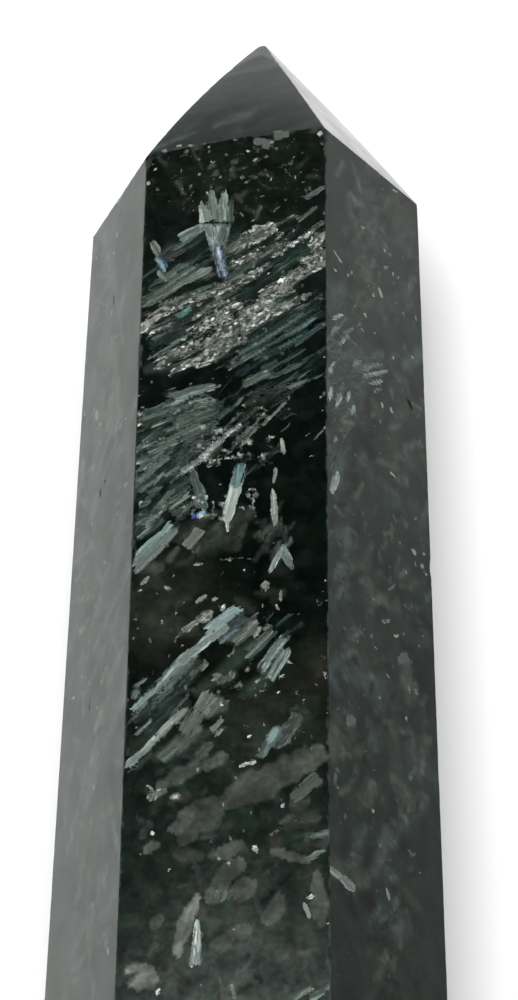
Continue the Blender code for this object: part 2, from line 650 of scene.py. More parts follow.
@dataclass
class Canvas:
    """The fields laid over one face, with one value for each point of its grid.

    Cover is the distance inside the nearest blade's outline, below zero outside. Blade holds
    the place along and across that blade and its own number. Habit holds how streaky,
    grainy, shiny and soft it is. Ground is the colour of the rock with its veils, and its
    fourth part is how many specks it has. Flow holds the place along and across the nearest
    veil, its number, and how streaky it is.
    """

    face: Face
    seed: int
    ground: Array = field(init=False)
    flow: Array = field(init=False)
    dye: Array = field(init=False)
    cover: Array = field(init=False)
    blade: Array = field(init=False)
    habit: Array = field(init=False)

    reach_out = 0.4
    deepest = 0.6
    seam = 0.07
    straight_sway = 0.04
    uneven_sway = 0.13
    ragged = {Form.LATH: 0.8, Form.WEDGE: 0.8, Form.PLATE: 0.15}
    ragged_pitch = 0.14
    veil_strength = 0.94
    veil_border = 0.45
    numbers = 997
    number_step = 0.37

    def __post_init__(self) -> None:
        """Start with bare rock."""
        count = self.face.across.size
        self.ground = np.tile([*light(BLACK_ROCK), 0.35], (count, 1))
        self.flow = np.zeros((count, 4))
        self.dye = np.tile([*light(BLACK_ROCK), 1.0], (count, 1))
        self.cover = np.full(count, -self.reach_out)
        self.blade = np.zeros((count, 3))
        self.habit = np.tile([0.0, 0.0, 0.0, 0.05], (count, 1))
        self.draw = np.random.default_rng(self.seed)
        self.place = np.stack([self.face.across.ravel(), self.face.along.ravel()])
        self.sway = np.stack([self.rippled(self.seed), self.rippled(self.seed + 50)])

    @property
    def edge_gap(self) -> Array:
        """Return how far each point lies from the face's border."""
        return self.face.edge_gap

    def rippled(self, seed: int) -> Array:
        """Return a smooth ripple at every point, with a finer one of half its height over it."""
        return ripple(*self.place, seed, 0.7) + 0.5 * ripple(*self.place, seed, 0.3)

    def offsets(self, mark: Mark, right: Array) -> tuple[Array, Array]:
        """Measure from a mark's start to every point, swayed a little by a smooth ripple.

        Args:
            mark: The mark.
            right: The direction along it.

        Returns:
            Every point's place along and across the mark.
        """
        uneven = mark.look.form in (Form.BLOCK, Form.VEIL)
        sway = self.uneven_sway if uneven else self.straight_sway
        x, y = self.place + sway * self.sway - np.array(mark.start)[:, None]
        return x * right[0] + y * right[1], y * right[0] - x * right[1]

    def numbered(self, key: int, along: Array, across: Array) -> Array:
        """Return places along and across a mark together with the mark's own number."""
        number = np.full(along.size, key % self.numbers * self.number_step)
        return np.stack([along, across, number], axis=1)

    def half_width(self, mark: Mark, share: Array, along: Array, key: int) -> Array:
        """Give the half width of a mark along it.

        A lath or plate rises to its width over a tenth of its length at each end, a leaf follows
        (4 s (1 - s)) ^ 0.45, a wedge falls with (1 - s) ^ 0.75, and a block follows
        (4 s (1 - s)) ^ 0.25. Each outline wanders by a small share of the width.

        Args:
            mark: The mark.
            share: Shares s of its length.
            along: The same places in millimetres.
            key: Seeds the wandering of its outline.

        Returns:
            The half width at each place.
        """
        half = mark.width / 2.0
        form = mark.look.form
        arch = np.clip(4.0 * share * (1.0 - share), 0.0, 1.0)
        if form in (Form.LATH, Form.PLATE):
            profile = np.clip(np.minimum(share, 1.0 - share) / 0.1, 0.0, 1.0) ** 0.5
            return half * profile * (1.0 + 0.16 * wander(along, key, 1.1))
        if form is Form.WEDGE:
            rise = np.clip(share / 0.06, 0.0, 1.0) ** 0.5
            return half * rise * (1.0 - share) ** 0.75 * (1.0 + 0.12 * wander(along, key, 0.9))
        if form is Form.BLOCK:
            rough = 0.22 * wander(along, key, 0.9) + 0.12 * wander(along, key + 3, 0.25)
            return half * arch**0.25 * (1.0 + rough)
        rough = 0.14 * wander(along, key, 0.8) + 0.10 * wander(along, key + 3, 0.3)
        return half * arch**0.45 * (1.0 + rough)

    def lay(self, mark: Mark) -> None:
        """Lay one mark over what is there.

        Every point near the mark gets its place along and across it. The distance inside is
        the smaller of the half width less the offset and the distance to the nearer ragged
        end. Where that is positive the mark covers what was there. Blades that touch keep a
        shallow seam between them, and bare points take the mark that is nearest. A gap turns
        cover negative instead.

        Args:
            mark: The mark, placed in the face's own millimetres.
        """
        key = int(self.draw.integers(1, 1_000_000))
        look = mark.look
        if look.form is Form.VEIL:
            self.veil(mark, key)
            return
        run = np.array(mark.end) - np.array(mark.start)
        length = float(np.hypot(*run))
        if length < 1e-6:
            return
        along, across = self.offsets(mark, run / length)
        reach = mark.width * 0.8 + abs(mark.bend) * length + self.reach_out
        near = (along > -self.reach_out) & (along < length + self.reach_out)
        at = np.flatnonzero(near & (np.abs(across) < reach))
        if not at.size:
            return
        along = along[at]
        share = np.clip(along / length, 0.0, 1.0)
        across = across[at] - mark.bend * length * 4.0 * share * (1.0 - share)
        one_side = self.half_width(mark, share, along, key)
        other_side = self.half_width(mark, share, along, key + 7)
        half = np.where(across > 0.0, one_side, other_side)
        ragged = min(0.2 * length, self.ragged.get(look.form, 0.0))
        near_end, far_end = (
            distance - ragged * (0.5 + 0.5 * wander(across, seed, self.ragged_pitch))
            for distance, seed in ((along, key + 1), (length - along, key + 2))
        )
        inside = np.minimum(half - np.abs(across), np.minimum(near_end, far_end))
        inside = np.clip(inside, -self.reach_out, self.deepest)
        if look.form is Form.CRACK:
            self.cover[at] = np.minimum(self.cover[at], -inside)
            return
        outside = inside <= 0.0
        kept = at[outside]
        self.cover[kept] = np.minimum(self.cover[kept], self.seam - inside[outside])
        take = ~outside | (inside > self.cover[at])
        at = at[take]
        self.cover[at] = np.maximum(inside[take], np.minimum(self.cover[at], self.seam))
        self.dye[at, :3] = mark.colours(share[take])
        self.blade[at] = self.numbered(key, along[take], across[take])
        self.habit[at] = (look.streak, look.grain, look.shine, look.soft)

    def veil(self, mark: Mark, key: int) -> None:
        """Blend one soft cloud of splinters into the rock.

        Its half width follows (4 s (1 - s)) ^ 0.3 along it, with a wandering outline, and
        its strength eases from nothing at the border to full over the share named soft. The
        splinters fade out where one veil's measure gives way to another's.

        Args:
            mark: The veil, placed in the face's own millimetres.
            key: Seeds its outline.
        """
        run = np.array(mark.end) - np.array(mark.start)
        length = max(float(np.hypot(*run)), 0.01)
        along, across = self.offsets(mark, run / length)
        at = np.flatnonzero((along > 0.0) & (along < length) & (np.abs(across) < mark.width * 0.8))
        along = along[at]
        across = across[at]
        share = along / length
        below, above = (
            1.0 + 0.28 * wander(along, seed, 0.3 * length) + 0.18 * wander(along, seed + 5, 0.5)
            for seed in (key, key + 40)
        )
        rough = np.where(across > 0.0, above, below)
        half = np.maximum(0.5 * mark.width * (4.0 * share * (1.0 - share)) ** 0.3 * rough, 1e-4)
        depth = np.clip((1.0 - np.abs(across) / half) / mark.look.soft, 0.0, 1.0)
        weight = self.veil_strength * ease(depth)
        dye = mark.colours(share)
        self.ground[at, :3] = self.ground[at, :3] * (1.0 - weight[:, None]) + dye * weight[:, None]
        self.ground[at, 3] *= 1.0 - 0.5 * weight
        over = weight > self.veil_border
        streak = np.where(over, mark.look.streak, self.flow[at, 3])
        self.flow[at, 3] = streak * np.clip(np.abs(weight / self.veil_border - 1.0), 0.0, 1.0)
        self.flow[at[over], :3] = self.numbered(key, along[over], across[over])

    def stain(self, stain: Stain) -> None:
        """Blend a soft area into the rock, by exp(-d * d) with d in units of its reach.

        Args:
            stain: The area, placed in the face's own millimetres.
        """
        offset = self.place - np.array(stain.centre)[:, None]
        across, along = offset / np.array(stain.reach)[:, None]
        weight = stain.strength * np.exp(-(across**2) - along**2)[:, None]
        self.ground = self.ground * (1.0 - weight) + np.array([*light(stain.dye), stain.specks]) * weight


@dataclass(frozen=True)
class PhotoPlacer:
    """Turns photo pixels into places on one face.

    A cubic in the pixel's two numbers is fitted to the face's own grid points, whose pixels
    the camera gives.
    """

    terms: Array

    @staticmethod
    def basis(pixels: Array) -> Array:
        """Return every product of x and y up to the third power, in thousands of pixels."""
        x, y = np.moveaxis(pixels, -1, 0) / 1000.0
        return np.stack([x**i * y**j for i in range(4) for j in range(4 - i)], axis=-1)

    @classmethod
    def fit(cls, face: Face, view: PhotoView) -> "PhotoPlacer":
        """Fit the cubic to a face seen by the camera.

        Args:
            face: The face.
            view: The camera.

        Returns:
            The placer of that face.
        """
        pixels = view.pixels(face.points).reshape(-1, 2)
        places = np.stack([face.across.ravel(), face.along.ravel()], axis=1)
        terms, *_ = np.linalg.lstsq(cls.basis(pixels), places, rcond=None)
        off = float(np.abs(cls.basis(pixels) @ terms - places).max())
        LOG.info("%s: pixels placed within %.3f mm", face.name, off)
        return cls(terms)

    def place(self, pixel: Pair) -> Pair:
        """Return the place on the face, in millimetres, that shows at this pixel."""
        across, along = self.basis(np.array(pixel, dtype=float)) @ self.terms
        return float(across), float(along)

    def scale(self, pixel: Pair) -> Pair:
        """Measure a pixel on the face.

        Args:
            pixel: The pixel.

        Returns:
            How many millimetres it spans there, across and along the face.
        """
        here = self.place(pixel)
        right = self.place((pixel[0] + 1.0, pixel[1]))
        below = self.place((pixel[0], pixel[1] + 1.0))
        return float(np.hypot(right[0] - here[0], right[1] - here[1])), abs(below[1] - here[1])

    def mark(self, mark: Mark) -> Mark:
        """Return the mark moved from pixels to millimetres."""
        width = mark.width * sum(self.scale(mark.start)) / 2.0
        return replace(mark, start=self.place(mark.start), end=self.place(mark.end), width=width)

    def stain(self, stain: Stain) -> Stain:
        """Return the stain moved from pixels to millimetres."""
        reach = tuple(np.array(stain.reach) * self.scale(stain.centre))
        return replace(stain, centre=self.place(stain.centre), reach=reach)


# Looks that several groups share
VEIL = Look((39, 51, 46), Form.VEIL, 1.0, soft=0.9)
CLOUD = Look((40, 49, 44), Form.VEIL, 0.0, soft=1.0)
TEAL_VEIL = Look((18, 30, 27), Form.VEIL, 1.0, soft=0.8)
GREEN_VEIL = Look((44, 53, 48), Form.VEIL, 0.2, soft=0.9)
GREY_VEIL = Look((60, 67, 61), Form.VEIL, 0.2, soft=0.5)
GHOST_BLOCK = Look((70, 75, 69), Form.VEIL, 0.03, soft=0.16)
GREY_LATH = Look((104, 114, 106), streak=0.8, soft=0.12)
SILVER_LATH = Look((140, 148, 140), streak=0.6, grain=0.15)
TEAL_LATH = Look((66, 86, 84), streak=0.9, shine=0.4, soft=0.12)
BRONZE = Look((108, 114, 107), Form.LATH, 0.5, 1.0, 0.2, 0.16)
BRONZE_LUMP = Look((116, 121, 113), Form.BLOCK, 0.3, 1.0, 0.2, 0.16)
WHITE_GRAIN = Look((168, 170, 162), Form.BLOCK, 0.2, 0.8, 0.2)
NEEDLE = Look(TEAL, Form.LEAF, 0.5, 0.1, 0.3, 0.06)
CRUMB = Look((88, 96, 89), Form.BLOCK, 0.4, 0.3, 0.2, 0.14)
SPARK = Look((182, 189, 181), Form.BLOCK, 0.2, 0.5, 0.3, 0.06)
DARK_GAP = Look(BLACK_ROCK, Form.CRACK)

# Colours of the clouds on both side faces
SIDE_MOTTLES = ((54, 67, 62), (60, 62, 54), (6, 14, 12), (60, 72, 72))

# The worn shoulder, which the top face and the near face of the tip share
SHOULDER_FLAKES = Look((92, 99, 93), Form.PLATE, 0.1, 0.15, 0.1, 0.1).group(
    (254, 140, 271.5, 143, 7.5), (261, 145.5, 270.5, 148, 6), (272.5, 137, 291, 132.5, 8),
    (272, 133, 282, 131.5, 4))
SHOULDER_CRUMBS = Look((150, 150, 142), Form.BLOCK, 0.2, 0.3, 0.2, 0.08).group(
    (176, 145.5, 179, 147.5, 3.4), (161, 151, 167, 150, 3), (189, 145, 194, 145.6, 2.6),
    (204, 142.6, 207, 142, 2), (215, 140.8, 218, 140.4, 2), (236, 139, 239, 138, 2.4),
    (308, 129.6, 312, 129.2, 2), (142, 154, 149, 162, 5))

# What lies on the top face, in photo pixels, bottom layer first
TOP_LAYERS: Layers = (
    # Soft clouds and veils in the rock
    Scatter(
        (240, 176), (88, 44), 30, 60, 50, (6, 18), (4, 10), (SMOKE, UMBER_ROCK), CLOUD, 131, (0.3, 1.1)),
    Scatter(
        (232, 820), (96, 84), 30, 50, 60, (14, 44), (10, 26), (GREEN_ROCK, UMBER_ROCK, (36, 46, 42)),
        GREEN_VEIL, 32, (0.55, 1.15)),
    Scatter(
        (232, 820), (96, 190), 60, 60, 50, (8, 26), (5, 12), ((58, 66, 62), UMBER_ROCK), GREY_VEIL, 33,
        (0.5, 1.15)),
    Scatter((212, 592), (80, 50), 20, 50, 18, (16, 40), (10, 20), (UMBER_ROCK, BROWN_ROCK), CLOUD, 34),
    Scatter(
        (232, 962), (96, 60), 60, 50, 46, (14, 40), (10, 22), ((64, 72, 68), (50, 58, 54), UMBER_ROCK),
        GREEN_VEIL, 39, (0.8, 1.25)),
    Look((46, 52, 46), Form.VEIL, 0.3, soft=1.0).group(
        (194, 550, 254, 510, 40), (206, 526, 240, 548, 26), (176, 544, 206, 516, 28),
        (244, 404, 284, 392, 14)),
    Scatter((274, 538), (17, 30), 75, 30, 26, (9, 24), (4, 9), ((66, 76, 70), (80, 90, 84)), CLOUD, 71),
    Scatter((218, 528), (30, 18), 45, 40, 22, (9, 24), (5, 12), ((58, 64, 56), (70, 77, 69)), CLOUD, 72),
    replace(VEIL, dye=(66, 78, 73)).group(
        (156, 262, 206, 230, 20), (150, 290, 216, 254, 20), (196, 262, 214, 248, 12),
        (222, 262, 246, 240, 16)),
    VEIL.group(
        (150, 345, 262, 282, 26), (170, 372, 300, 296, 34), (240, 290, 326, 238, 26),
        (226, 282, 300, 226, 18), (142, 372, 230, 342, 22), (150, 324, 214, 286, 12)),
    TEAL_VEIL.group((240, 372, 327, 316, 34), (258, 396, 327, 356, 26), (236, 360, 290, 326, 16)),
    VEIL.group(
        (166, 402, 216, 390, 18), (138, 440, 224, 406, 28), (136, 462, 214, 424, 26),
        (134, 500, 196, 446, 26), (133, 540, 190, 478, 30)),
    Look((42, 53, 47), Form.VEIL, 0.4, soft=0.9).group(
        (152, 702, 200, 652, 24), (134, 722, 200, 660, 34), (200, 690, 262, 640, 30),
        (128, 756, 190, 700, 34), (240, 700, 290, 650, 20), (150, 760, 214, 730, 26),
        (270, 740, 312, 712, 26)),
    # Fine laths between the blades
    Scatter((224, 300), (90, 66), 31, 3, 90, (16, 60), (1.6, 5), (DEEP_TEAL, SMOKE, MIST), GREY_LATH, 1),
    Scatter((281, 357), (46, 46), 31, 2, 30, (16, 56), (1.6, 4), (DEEP_TEAL, TEAL), TEAL_LATH, 2),
    Scatter((186, 421), (39, 34), 21, 5, 60, (14, 46), (1.6, 4), (MIST, SAGE, TEAL), TEAL_LATH, 3),
    Scatter((160, 485), (32, 52), 38, 4, 60, (12, 36), (1.6, 4), (MIST, TEAL, SAGE), TEAL_LATH, 4),
    Scatter((240, 430), (50, 46), 43, 4, 40, (10, 34), (1.6, 3), (MIST, DEEP_TEAL, SMOKE), GREY_LATH, 5),
    Scatter((165, 700), (36, 40), 45, 5, 24, (12, 40), (2, 4), (MIST, DEEP_TEAL), GREY_LATH, 6),
    Scatter((264, 632), (34, 34), 45, 6, 14, (12, 30), (2, 5), (MIST, DEEP_TEAL), GREY_LATH, 7),
    # The crown of pale rays near the shoulder
    Look((108, 122, 116), Form.PLATE, 0.5, 0.1, 0.2, 0.1).group((178, 240, 202, 227, 11)),
    Look((104, 118, 112), Form.WEDGE, 0.8, 0.1, 0.3, 0.08).group(
        (226, 219, 222, 254, 13), (212, 219, 218, 264, 21)),
    Look((140, 152, 144), Form.LEAF, 0.6, 0.1, 0.3, 0.05).group((205, 224, 214, 247, 6)),
    Look((74, 88, 104), Form.LATH, 0.9, 0.1, 0.4, 0.14).group((216, 242, 225, 279, 8.4)),
    Look((158, 174, 190), Form.LEAF, 0.9, 0.2, 0.4, 0.08).group(
        (217, 246, 221, 262, 4.6), (220, 259, 224, 272, 4.4), (223.5, 270, 226, 278, 3)),
    Look((58, 70, 64), Form.WEDGE, 0.7, 0.1, 0.3, 0.1).group((229, 227, 231.5, 196, 8)),
    Look((110, 124, 117), Form.WEDGE, 0.5, 0.1, 0.3, 0.05).group(
        (212.5, 227, 211.5, 184, 16), (222.5, 227, 224, 184, 16), (217.5, 227, 217.5, 200, 9)),
    Look((142, 155, 148), Form.WEDGE, 0.5, 0.1, 0.3, 0.05).group((206.5, 227, 201, 199, 15)),
    DARK_GAP.group((194, 223.2, 240, 222.2, 2.2), (222, 224, 221.5, 243, 1.4)),
    Look((94, 103, 96), Form.LEAF, 0.4, 0.1, 0.2, 0.08).group(
        (152, 240.5, 158.5, 256, 6), (158, 270.5, 168, 282, 4.5), (166, 279, 178, 269, 4)),
    # The left glint: a slim blade whose teal, white and blue stripes are a painted glint, the flash of
    # colour it throws back at this angle
    Look((96, 142, 140), Form.LATH, 0.4, 0.0, 0.5).group((154.5, 257, 166, 272.5, 3.6)),
    Look((168, 192, 196), Form.LEAF, 0.3, 0.0, 0.5).group((157, 258.5, 167, 271.5, 2.2)),
    Look((64, 98, 138), Form.LEAF, 0.4, 0.0, 0.6).group((159.5, 257, 168.4, 267.5, 2.4)),
    # The bronze band
    Look((94, 106, 98), Form.LATH, 0.6, 0.1, 0.2).group(
        (140.7, 307, 214, 265.5, 8.6), (164, 286.5, 199, 264, 4), (150, 296, 176, 280, 2.4)),
    Look((78, 88, 82), Form.LATH, 0.7, 0.3, 0.2, 0.06).group(
        (295, 222.5, 321, 204, 5.5), (272, 227, 300, 214, 4), (303, 200, 326, 186, 6),
        (308, 232, 326, 220, 4)),
    BRONZE.group(
        (229, 268, 264, 247, 7.5), (240, 281, 266, 266, 4), (258, 300, 328, 257, 13),
        (282, 288, 327, 262, 5), (252, 262, 292, 238, 2.6), (270, 258, 318, 228, 2.8),
        (150, 318, 218, 290, 6.5), (158, 306, 180, 296, 3), (196, 300, 232, 281, 4)),
    BRONZE_LUMP.group(
        (239, 246, 274, 224, 15), (302, 262, 325, 246, 8), (311, 248, 326, 230, 9), (318, 262, 326, 252, 8),
        (252, 238, 270, 228, 9)),
    BRONZE.group(
        (149, 367, 208, 338, 13), (196, 350, 282, 297, 15), (186, 336, 244, 302, 12),
        (236, 318, 300, 284, 7), (240, 332, 312, 292, 6), (166, 376, 253, 333, 8), (212, 300, 262, 272, 7),
        (142, 338, 176, 322, 4), (188, 322, 226, 300, 4.5)),
    BRONZE_LUMP.group((194, 365, 228, 345, 15), (206, 330, 232, 316, 10), (262, 300, 286, 288, 9)),
    Look((92, 132, 122), Form.LATH, 0.5, 0.2, 0.4, 0.05).group((176, 318, 192, 307, 5)),
    Look((122, 120, 110), Form.LATH, 0.5, 0.4).group((140, 320.5, 188, 292.5, 2.4)),
    WHITE_GRAIN.group((137, 335, 149, 321, 9), (146, 327, 160, 314, 5)),
    DARK_GAP.group(
        (186, 343, 246, 306, 2.4), (226, 309, 276, 279, 2.6), (150, 352, 196, 329, 2.6),
        (252, 292, 318, 247, 2.4), (214, 352, 252, 332, 2.2), (160, 332, 204, 306, 2.2),
        (238, 276, 286, 243, 2.6), (196, 366, 250, 340, 2.2), (176, 360, 214, 340, 2.0),
        (254, 314, 300, 290, 2.0), (222, 290, 246, 276, 2.4)),
    Scatter((214, 322), (66, 40), 31, 8, 60, (2, 4), (1.6, 2.6), (PEARL, SILVER), SPARK, 21),
    Scatter((290, 262), (40, 36), 31, 8, 40, (2, 4), (1.6, 2.6), (PEARL, SILVER), SPARK, 22),
    # Teal blades, and the fan at the left edge
    Look((46, 61, 58), Form.LATH, 0.9, 0.0, 0.4, 0.12).group(
        (235, 357.5, 327, 296, 8.5), (240, 372, 300, 338, 5), (252, 378, 312, 346, 4.5),
        (286, 346, 327, 322, 4), (262, 404, 326, 372, 4), (296, 366, 327, 348, 3),
        (246, 352, 282, 328, 3.4), (290, 330, 327, 306, 3.4)),
    Look((70, 80, 74), Form.LATH, 0.9, 0.15, 0.3, 0.12).group(
        (240, 385, 272, 371, 8), (266, 378, 308, 360, 6), (243, 397, 309, 381, 5)),
    Look((92, 114, 107), Form.LATH, 0.6, 0.0, 0.5, 0.05).group(
        (236, 355.5, 262, 342, 3), (250, 349, 308, 311, 2.8), (272, 352, 306, 333, 2),
        (283, 338, 304, 325, 2)),
    Look((84, 99, 91), Form.LATH, 0.8, 0.05, 0.3, 0.12).group(
        (172, 427.5, 219, 408.5, 12), (160, 444, 204, 424, 6), (150, 428, 176, 418, 4),
        (146, 456, 184, 438, 5), (182, 443, 214, 428, 5), (150, 414, 166, 405, 3.4)),
    Look((112, 126, 122), Form.LATH, 0.7, 0.1, 0.3, 0.06).group(
        (166, 398, 218.5, 385, 8.5), (184, 404.5, 216, 396, 3.4), (172, 415, 182, 408, 3.6)),
    Look((104, 116, 110), Form.LATH, 0.6, 0.15, 0.3, 0.05).group(
        (134, 464, 156, 458, 3), (135, 484.5, 174, 454, 4.4), (150.5, 486, 167, 469.5, 4.4),
        (138, 508, 150, 500.5, 3.4), (153, 513, 174, 487.5, 7), (134, 526.5, 156, 515.5, 4.8),
        (136, 450, 160, 440, 2.6), (140, 494, 160, 478, 3), (162, 478, 182, 464, 3),
        (136, 540, 152, 526, 3), (148, 522, 166, 508, 3)),
    Look((98, 110, 106), Form.LATH, 0.4, 0.05, 0.3, 0.1).group((130, 572, 178, 525, 14)),
    Group(Look((138, 162, 160), Form.LATH, 0.5, 0.05, 0.4), ((130, 562, 178, 516.5, 6),), fade=0.3),
    Look((124, 136, 130), Form.LATH, 0.4, 0.1, 0.4).group((134, 575, 172, 539, 2.4)),
    Look((118, 124, 118), Form.LATH, 0.3, 0.3).group(
        (262, 426, 288, 400, 2.6), (286, 389.5, 307, 380, 2.6), (236, 452, 262, 424, 2.2),
        (313, 442, 328, 423, 2.6), (243, 436, 268, 410, 2), (272, 416, 292, 396, 2)),
    Look((142, 152, 145), Form.LATH, 0.4, 0.9, 0.3, 0.05).group(
        (179, 475, 206, 454, 6.5), (200, 460, 224, 437, 7), (216, 444, 243, 422.5, 4.5),
        (206, 468, 222, 456, 3)),
    Scatter((218, 445), (24, 20), 44, 20, 34, (2.5, 5), (1.8, 3), (PEARL, SILVER), SPARK, 23),
    Scatter((250, 432), (32, 32), 45, 40, 30, (2, 4), (1.2, 2.4), (PEARL, SILVER, SAGE), SPARK, 24),
    # The leaf blade and what lies around it
    Look((80, 94, 91), Form.LEAF, 0.6, 0.2, 0.3, 0.06).group((192.5, 470, 205, 511, 10)),
    Scatter((212, 506), (30, 14), 40, 60, 34, (2.5, 5), (2, 3.4), (PEARL, SILVER, SAGE), SPARK, 25),
    Scatter((252, 498), (7, 12), 70, 30, 12, (2.5, 5), (2, 3), (PEARL, SILVER), SPARK, 26),
    Look((178, 191, 184), Form.LEAF, 0.3, 0.05, 0.3, 0.05).group((241.2, 464, 227, 523, 12.8)),
    Look((108, 136, 136), Form.LEAF, 0.5, 0.0, 0.4, 0.2).group((241.5, 463, 235.3, 488, 11.2)),
    SPARK.group((229.5, 519, 229.4, 531, 3.2), (222.5, 519.5, 227, 518, 4)),
    Look((134, 144, 135), Form.LEAF, 0.4, 0.2, 0.3, 0.05).group(
        (276, 466, 273, 483, 4.4), (272.5, 489, 275, 527, 6), (282, 438, 283.5, 455, 4.5),
        (262, 452, 264, 461, 3)),
    # The blue glint: a small blade painted blue and cyan, a painted glint of the colour it throws back at
    # this angle
    Look((74, 96, 176), Form.LATH, 0.3, 0.0, 0.6).group((191, 518, 201, 512.5, 3.2)),
    Look((130, 192, 200), Form.LATH, 0.3, 0.0, 0.6).group((198.5, 514, 206.5, 509.8, 3.6)),
    Look((104, 109, 101), Form.PLATE, 0.2, 0.1, 0.1, 0.1).group((184, 548, 202, 528, 11.5)),
    Look((98, 112, 108), Form.LEAF, 0.5, 0.15, 0.3, 0.08).group((282, 545, 292, 571, 7)),
    Look((142, 158, 152), Form.LEAF, 0.5, 0.15, 0.3, 0.05).group((269, 573, 283.5, 545.5, 6.4)),
    WHITE_GRAIN.group(
        (136, 353, 141, 350, 4), (136, 369, 141, 366, 4), (136, 398, 140, 396, 3.4),
        (136, 416, 141, 413.5, 3.4), (138, 425, 143, 422.5, 3), (133, 485, 137, 483, 3)),
    Look((96, 94, 86), Form.LATH, 0.2, 0.2).group((216, 560.6, 237, 556.8, 2), (236, 556.6, 256, 560, 2)),
    Look((126, 131, 121), Form.LEAF, 0.3, 0.3, 0.2, 0.08).group(
        (140, 585.5, 149.5, 577, 3.8), (164.5, 585, 171, 590, 3), (194, 564.2, 204, 563.2, 2.6),
        (195.5, 603, 208, 595, 5), (211, 601, 218, 598, 3.2), (260.5, 588, 268, 580, 4.4),
        (262, 592, 270, 584, 2.8), (281, 590, 280, 601, 2.6), (276, 604, 279, 610, 3),
        (157, 592, 159, 595, 2.4), (182, 605, 185, 602, 2.4)),
    # The feather of pale blades
    Look((96, 108, 101), Form.LATH, 0.8, 0.1, 0.3, 0.1).group(
        (160, 694, 196, 656, 6), (150, 706, 176, 682, 5), (166, 676, 186, 654, 5)),
    Look((76, 88, 84), Form.LATH, 0.8, 0.05, 0.4, 0.06).group((214, 640, 250, 612, 9)),
    Look((129, 151, 148), Form.LATH, 0.5, 0.05, 0.4, 0.05).group((203, 634, 243, 603.5, 10.5)),
    Look((68, 83, 87), Form.LATH, 0.6, 0.0, 0.4, 0.08).group((220, 643, 240, 626, 6)),
    Look((138, 162, 156), Form.LATH, 0.4, 0.1, 0.4, 0.05).group((128.5, 713, 157, 687.5, 5.6)),
    Look((122, 140, 133), Form.LATH, 0.6, 0.1, 0.3, 0.05).group((151, 695, 186, 655, 6.4)),
    Look((150, 166, 160), Form.LATH, 0.6, 0.15, 0.3, 0.06).group((172, 669, 229, 622, 10.5)),
    Look((103, 112, 104), Form.BLOCK, 0.6, 0.5, 0.2, 0.08).group(
        (182, 630, 201, 619, 7), (196, 622, 213, 611, 9), (175, 635.5, 181, 631.5, 4)),
    SPARK.group((223.5, 609, 226.5, 603.5, 3.6)),
    Look((76, 83, 76), Form.LATH, 0.6, 0.1, 0.2, 0.07).group(
        (228, 648, 260, 619.5, 11), (244, 652, 268, 632, 5)),
    Look((120, 129, 120), Form.LATH, 0.4, 0.3).group(
        (252, 638, 262, 625.5, 3.6), (246, 630, 259, 619, 3.4), (227, 658.5, 237, 649.5, 3.6),
        (262, 630, 270, 624, 4)),
    Look((94, 109, 104), Form.LATH, 0.8, 0.1, 0.4, 0.06).group(
        (245, 661, 277, 629, 7), (258, 673, 288, 633, 9)),
    Look((108, 122, 117), Form.LATH, 0.3, 0.1, 0.4).group((262, 664, 286, 634, 3)),
    Look((96, 110, 106), Form.LATH, 0.7, 0.1, 0.4, 0.05).group((267, 682.5, 289, 646, 10)),
    CRUMB.group(
        (213, 678, 220, 674, 6), (219, 684, 228, 676, 8), (229, 681, 234, 672, 6), (234, 690, 243, 684, 7),
        (190, 665, 199, 657.5, 6), (189.5, 676, 194, 671, 4.4), (134, 697, 140, 690, 7),
        (247, 670, 251, 666, 4), (201, 670, 208, 662, 6)),
    Scatter((240, 688), (40, 22), 40, 60, 18, (2, 4.5), (1.8, 3), (SAGE, SILVER, PEARL), SPARK, 27),
    # The second blade and the blocks of the lower face
    Look((72, 81, 74), Form.VEIL, 0.3, soft=0.5).group(
        (206, 712, 226, 698, 20), (174, 752, 200, 726, 20), (160, 762, 186, 738, 16),
        (186, 770, 212, 744, 14)),
    Look((92, 101, 94), Form.PLATE, 0.3, 0.1, 0.2, 0.2).group(
        (192, 724, 211, 692, 15), (182, 734, 200, 708, 12), (205, 716, 219, 696, 10)),
    Look((124, 134, 127), Form.LATH, 0.6, 0.1, 0.3, 0.05).group((150, 744, 187, 706, 8)),
    Look((148, 160, 153), Form.LATH, 0.5, 0.1, 0.4, 0.05).group((123.5, 770, 162, 732, 6.6)),
    Look((72, 104, 104), Form.LATH, 0.3, 0.0, 0.4).group((125, 775.5, 140, 762, 2.4)),
    Look((126, 134, 126), Form.LATH, 0.4, 0.2).group(
        (209.5, 732, 224.5, 717, 5.4), (204, 714, 210, 708, 5), (213, 738, 223, 729, 4)),
    Look((74, 83, 78), Form.BLOCK, 0.4, 0.3, 0.2, 0.1).group((276, 748, 300, 714, 17)),
    Look((84, 97, 92), Form.LEAF, 0.5, 0.1, 0.3, 0.06).group((259, 758, 280, 725, 12)),
    Look((140, 170, 168), Form.LEAF, 0.5, 0.0, 0.5, 0.1).group((268, 744, 277, 727, 7)),
    replace(GHOST_BLOCK, dye=(67, 71, 65)).group((222, 804, 326, 751, 33)),
    replace(GHOST_BLOCK, dye=(58, 63, 57)).group((176, 838, 222, 800, 30)),
    Look((78, 84, 79), Form.PLATE, 0.2, 0.05, 0.1, 0.12).group((290, 800, 322, 775.5, 12)),
    Look((75, 82, 76), Form.VEIL, 0.2, soft=0.5).group(
        (156, 788, 196, 766, 18), (149, 926, 160, 916, 12), (147, 958, 160, 944, 14),
        (206, 770, 226, 752, 14), (226, 898, 256, 880, 12), (190, 770, 212, 764, 10)),
    replace(GHOST_BLOCK, dye=(76, 81, 75)).group(
        (170, 832, 196, 808, 18), (214, 856, 244, 842, 14), (208, 902, 240, 858, 20),
        (230, 898, 250, 878, 13), (236, 900, 258, 882, 12), (315.5, 872, 323, 930, 18),
        (150, 930, 162, 914, 14), (268, 850, 310, 862, 12), (211, 946, 251, 929, 17),
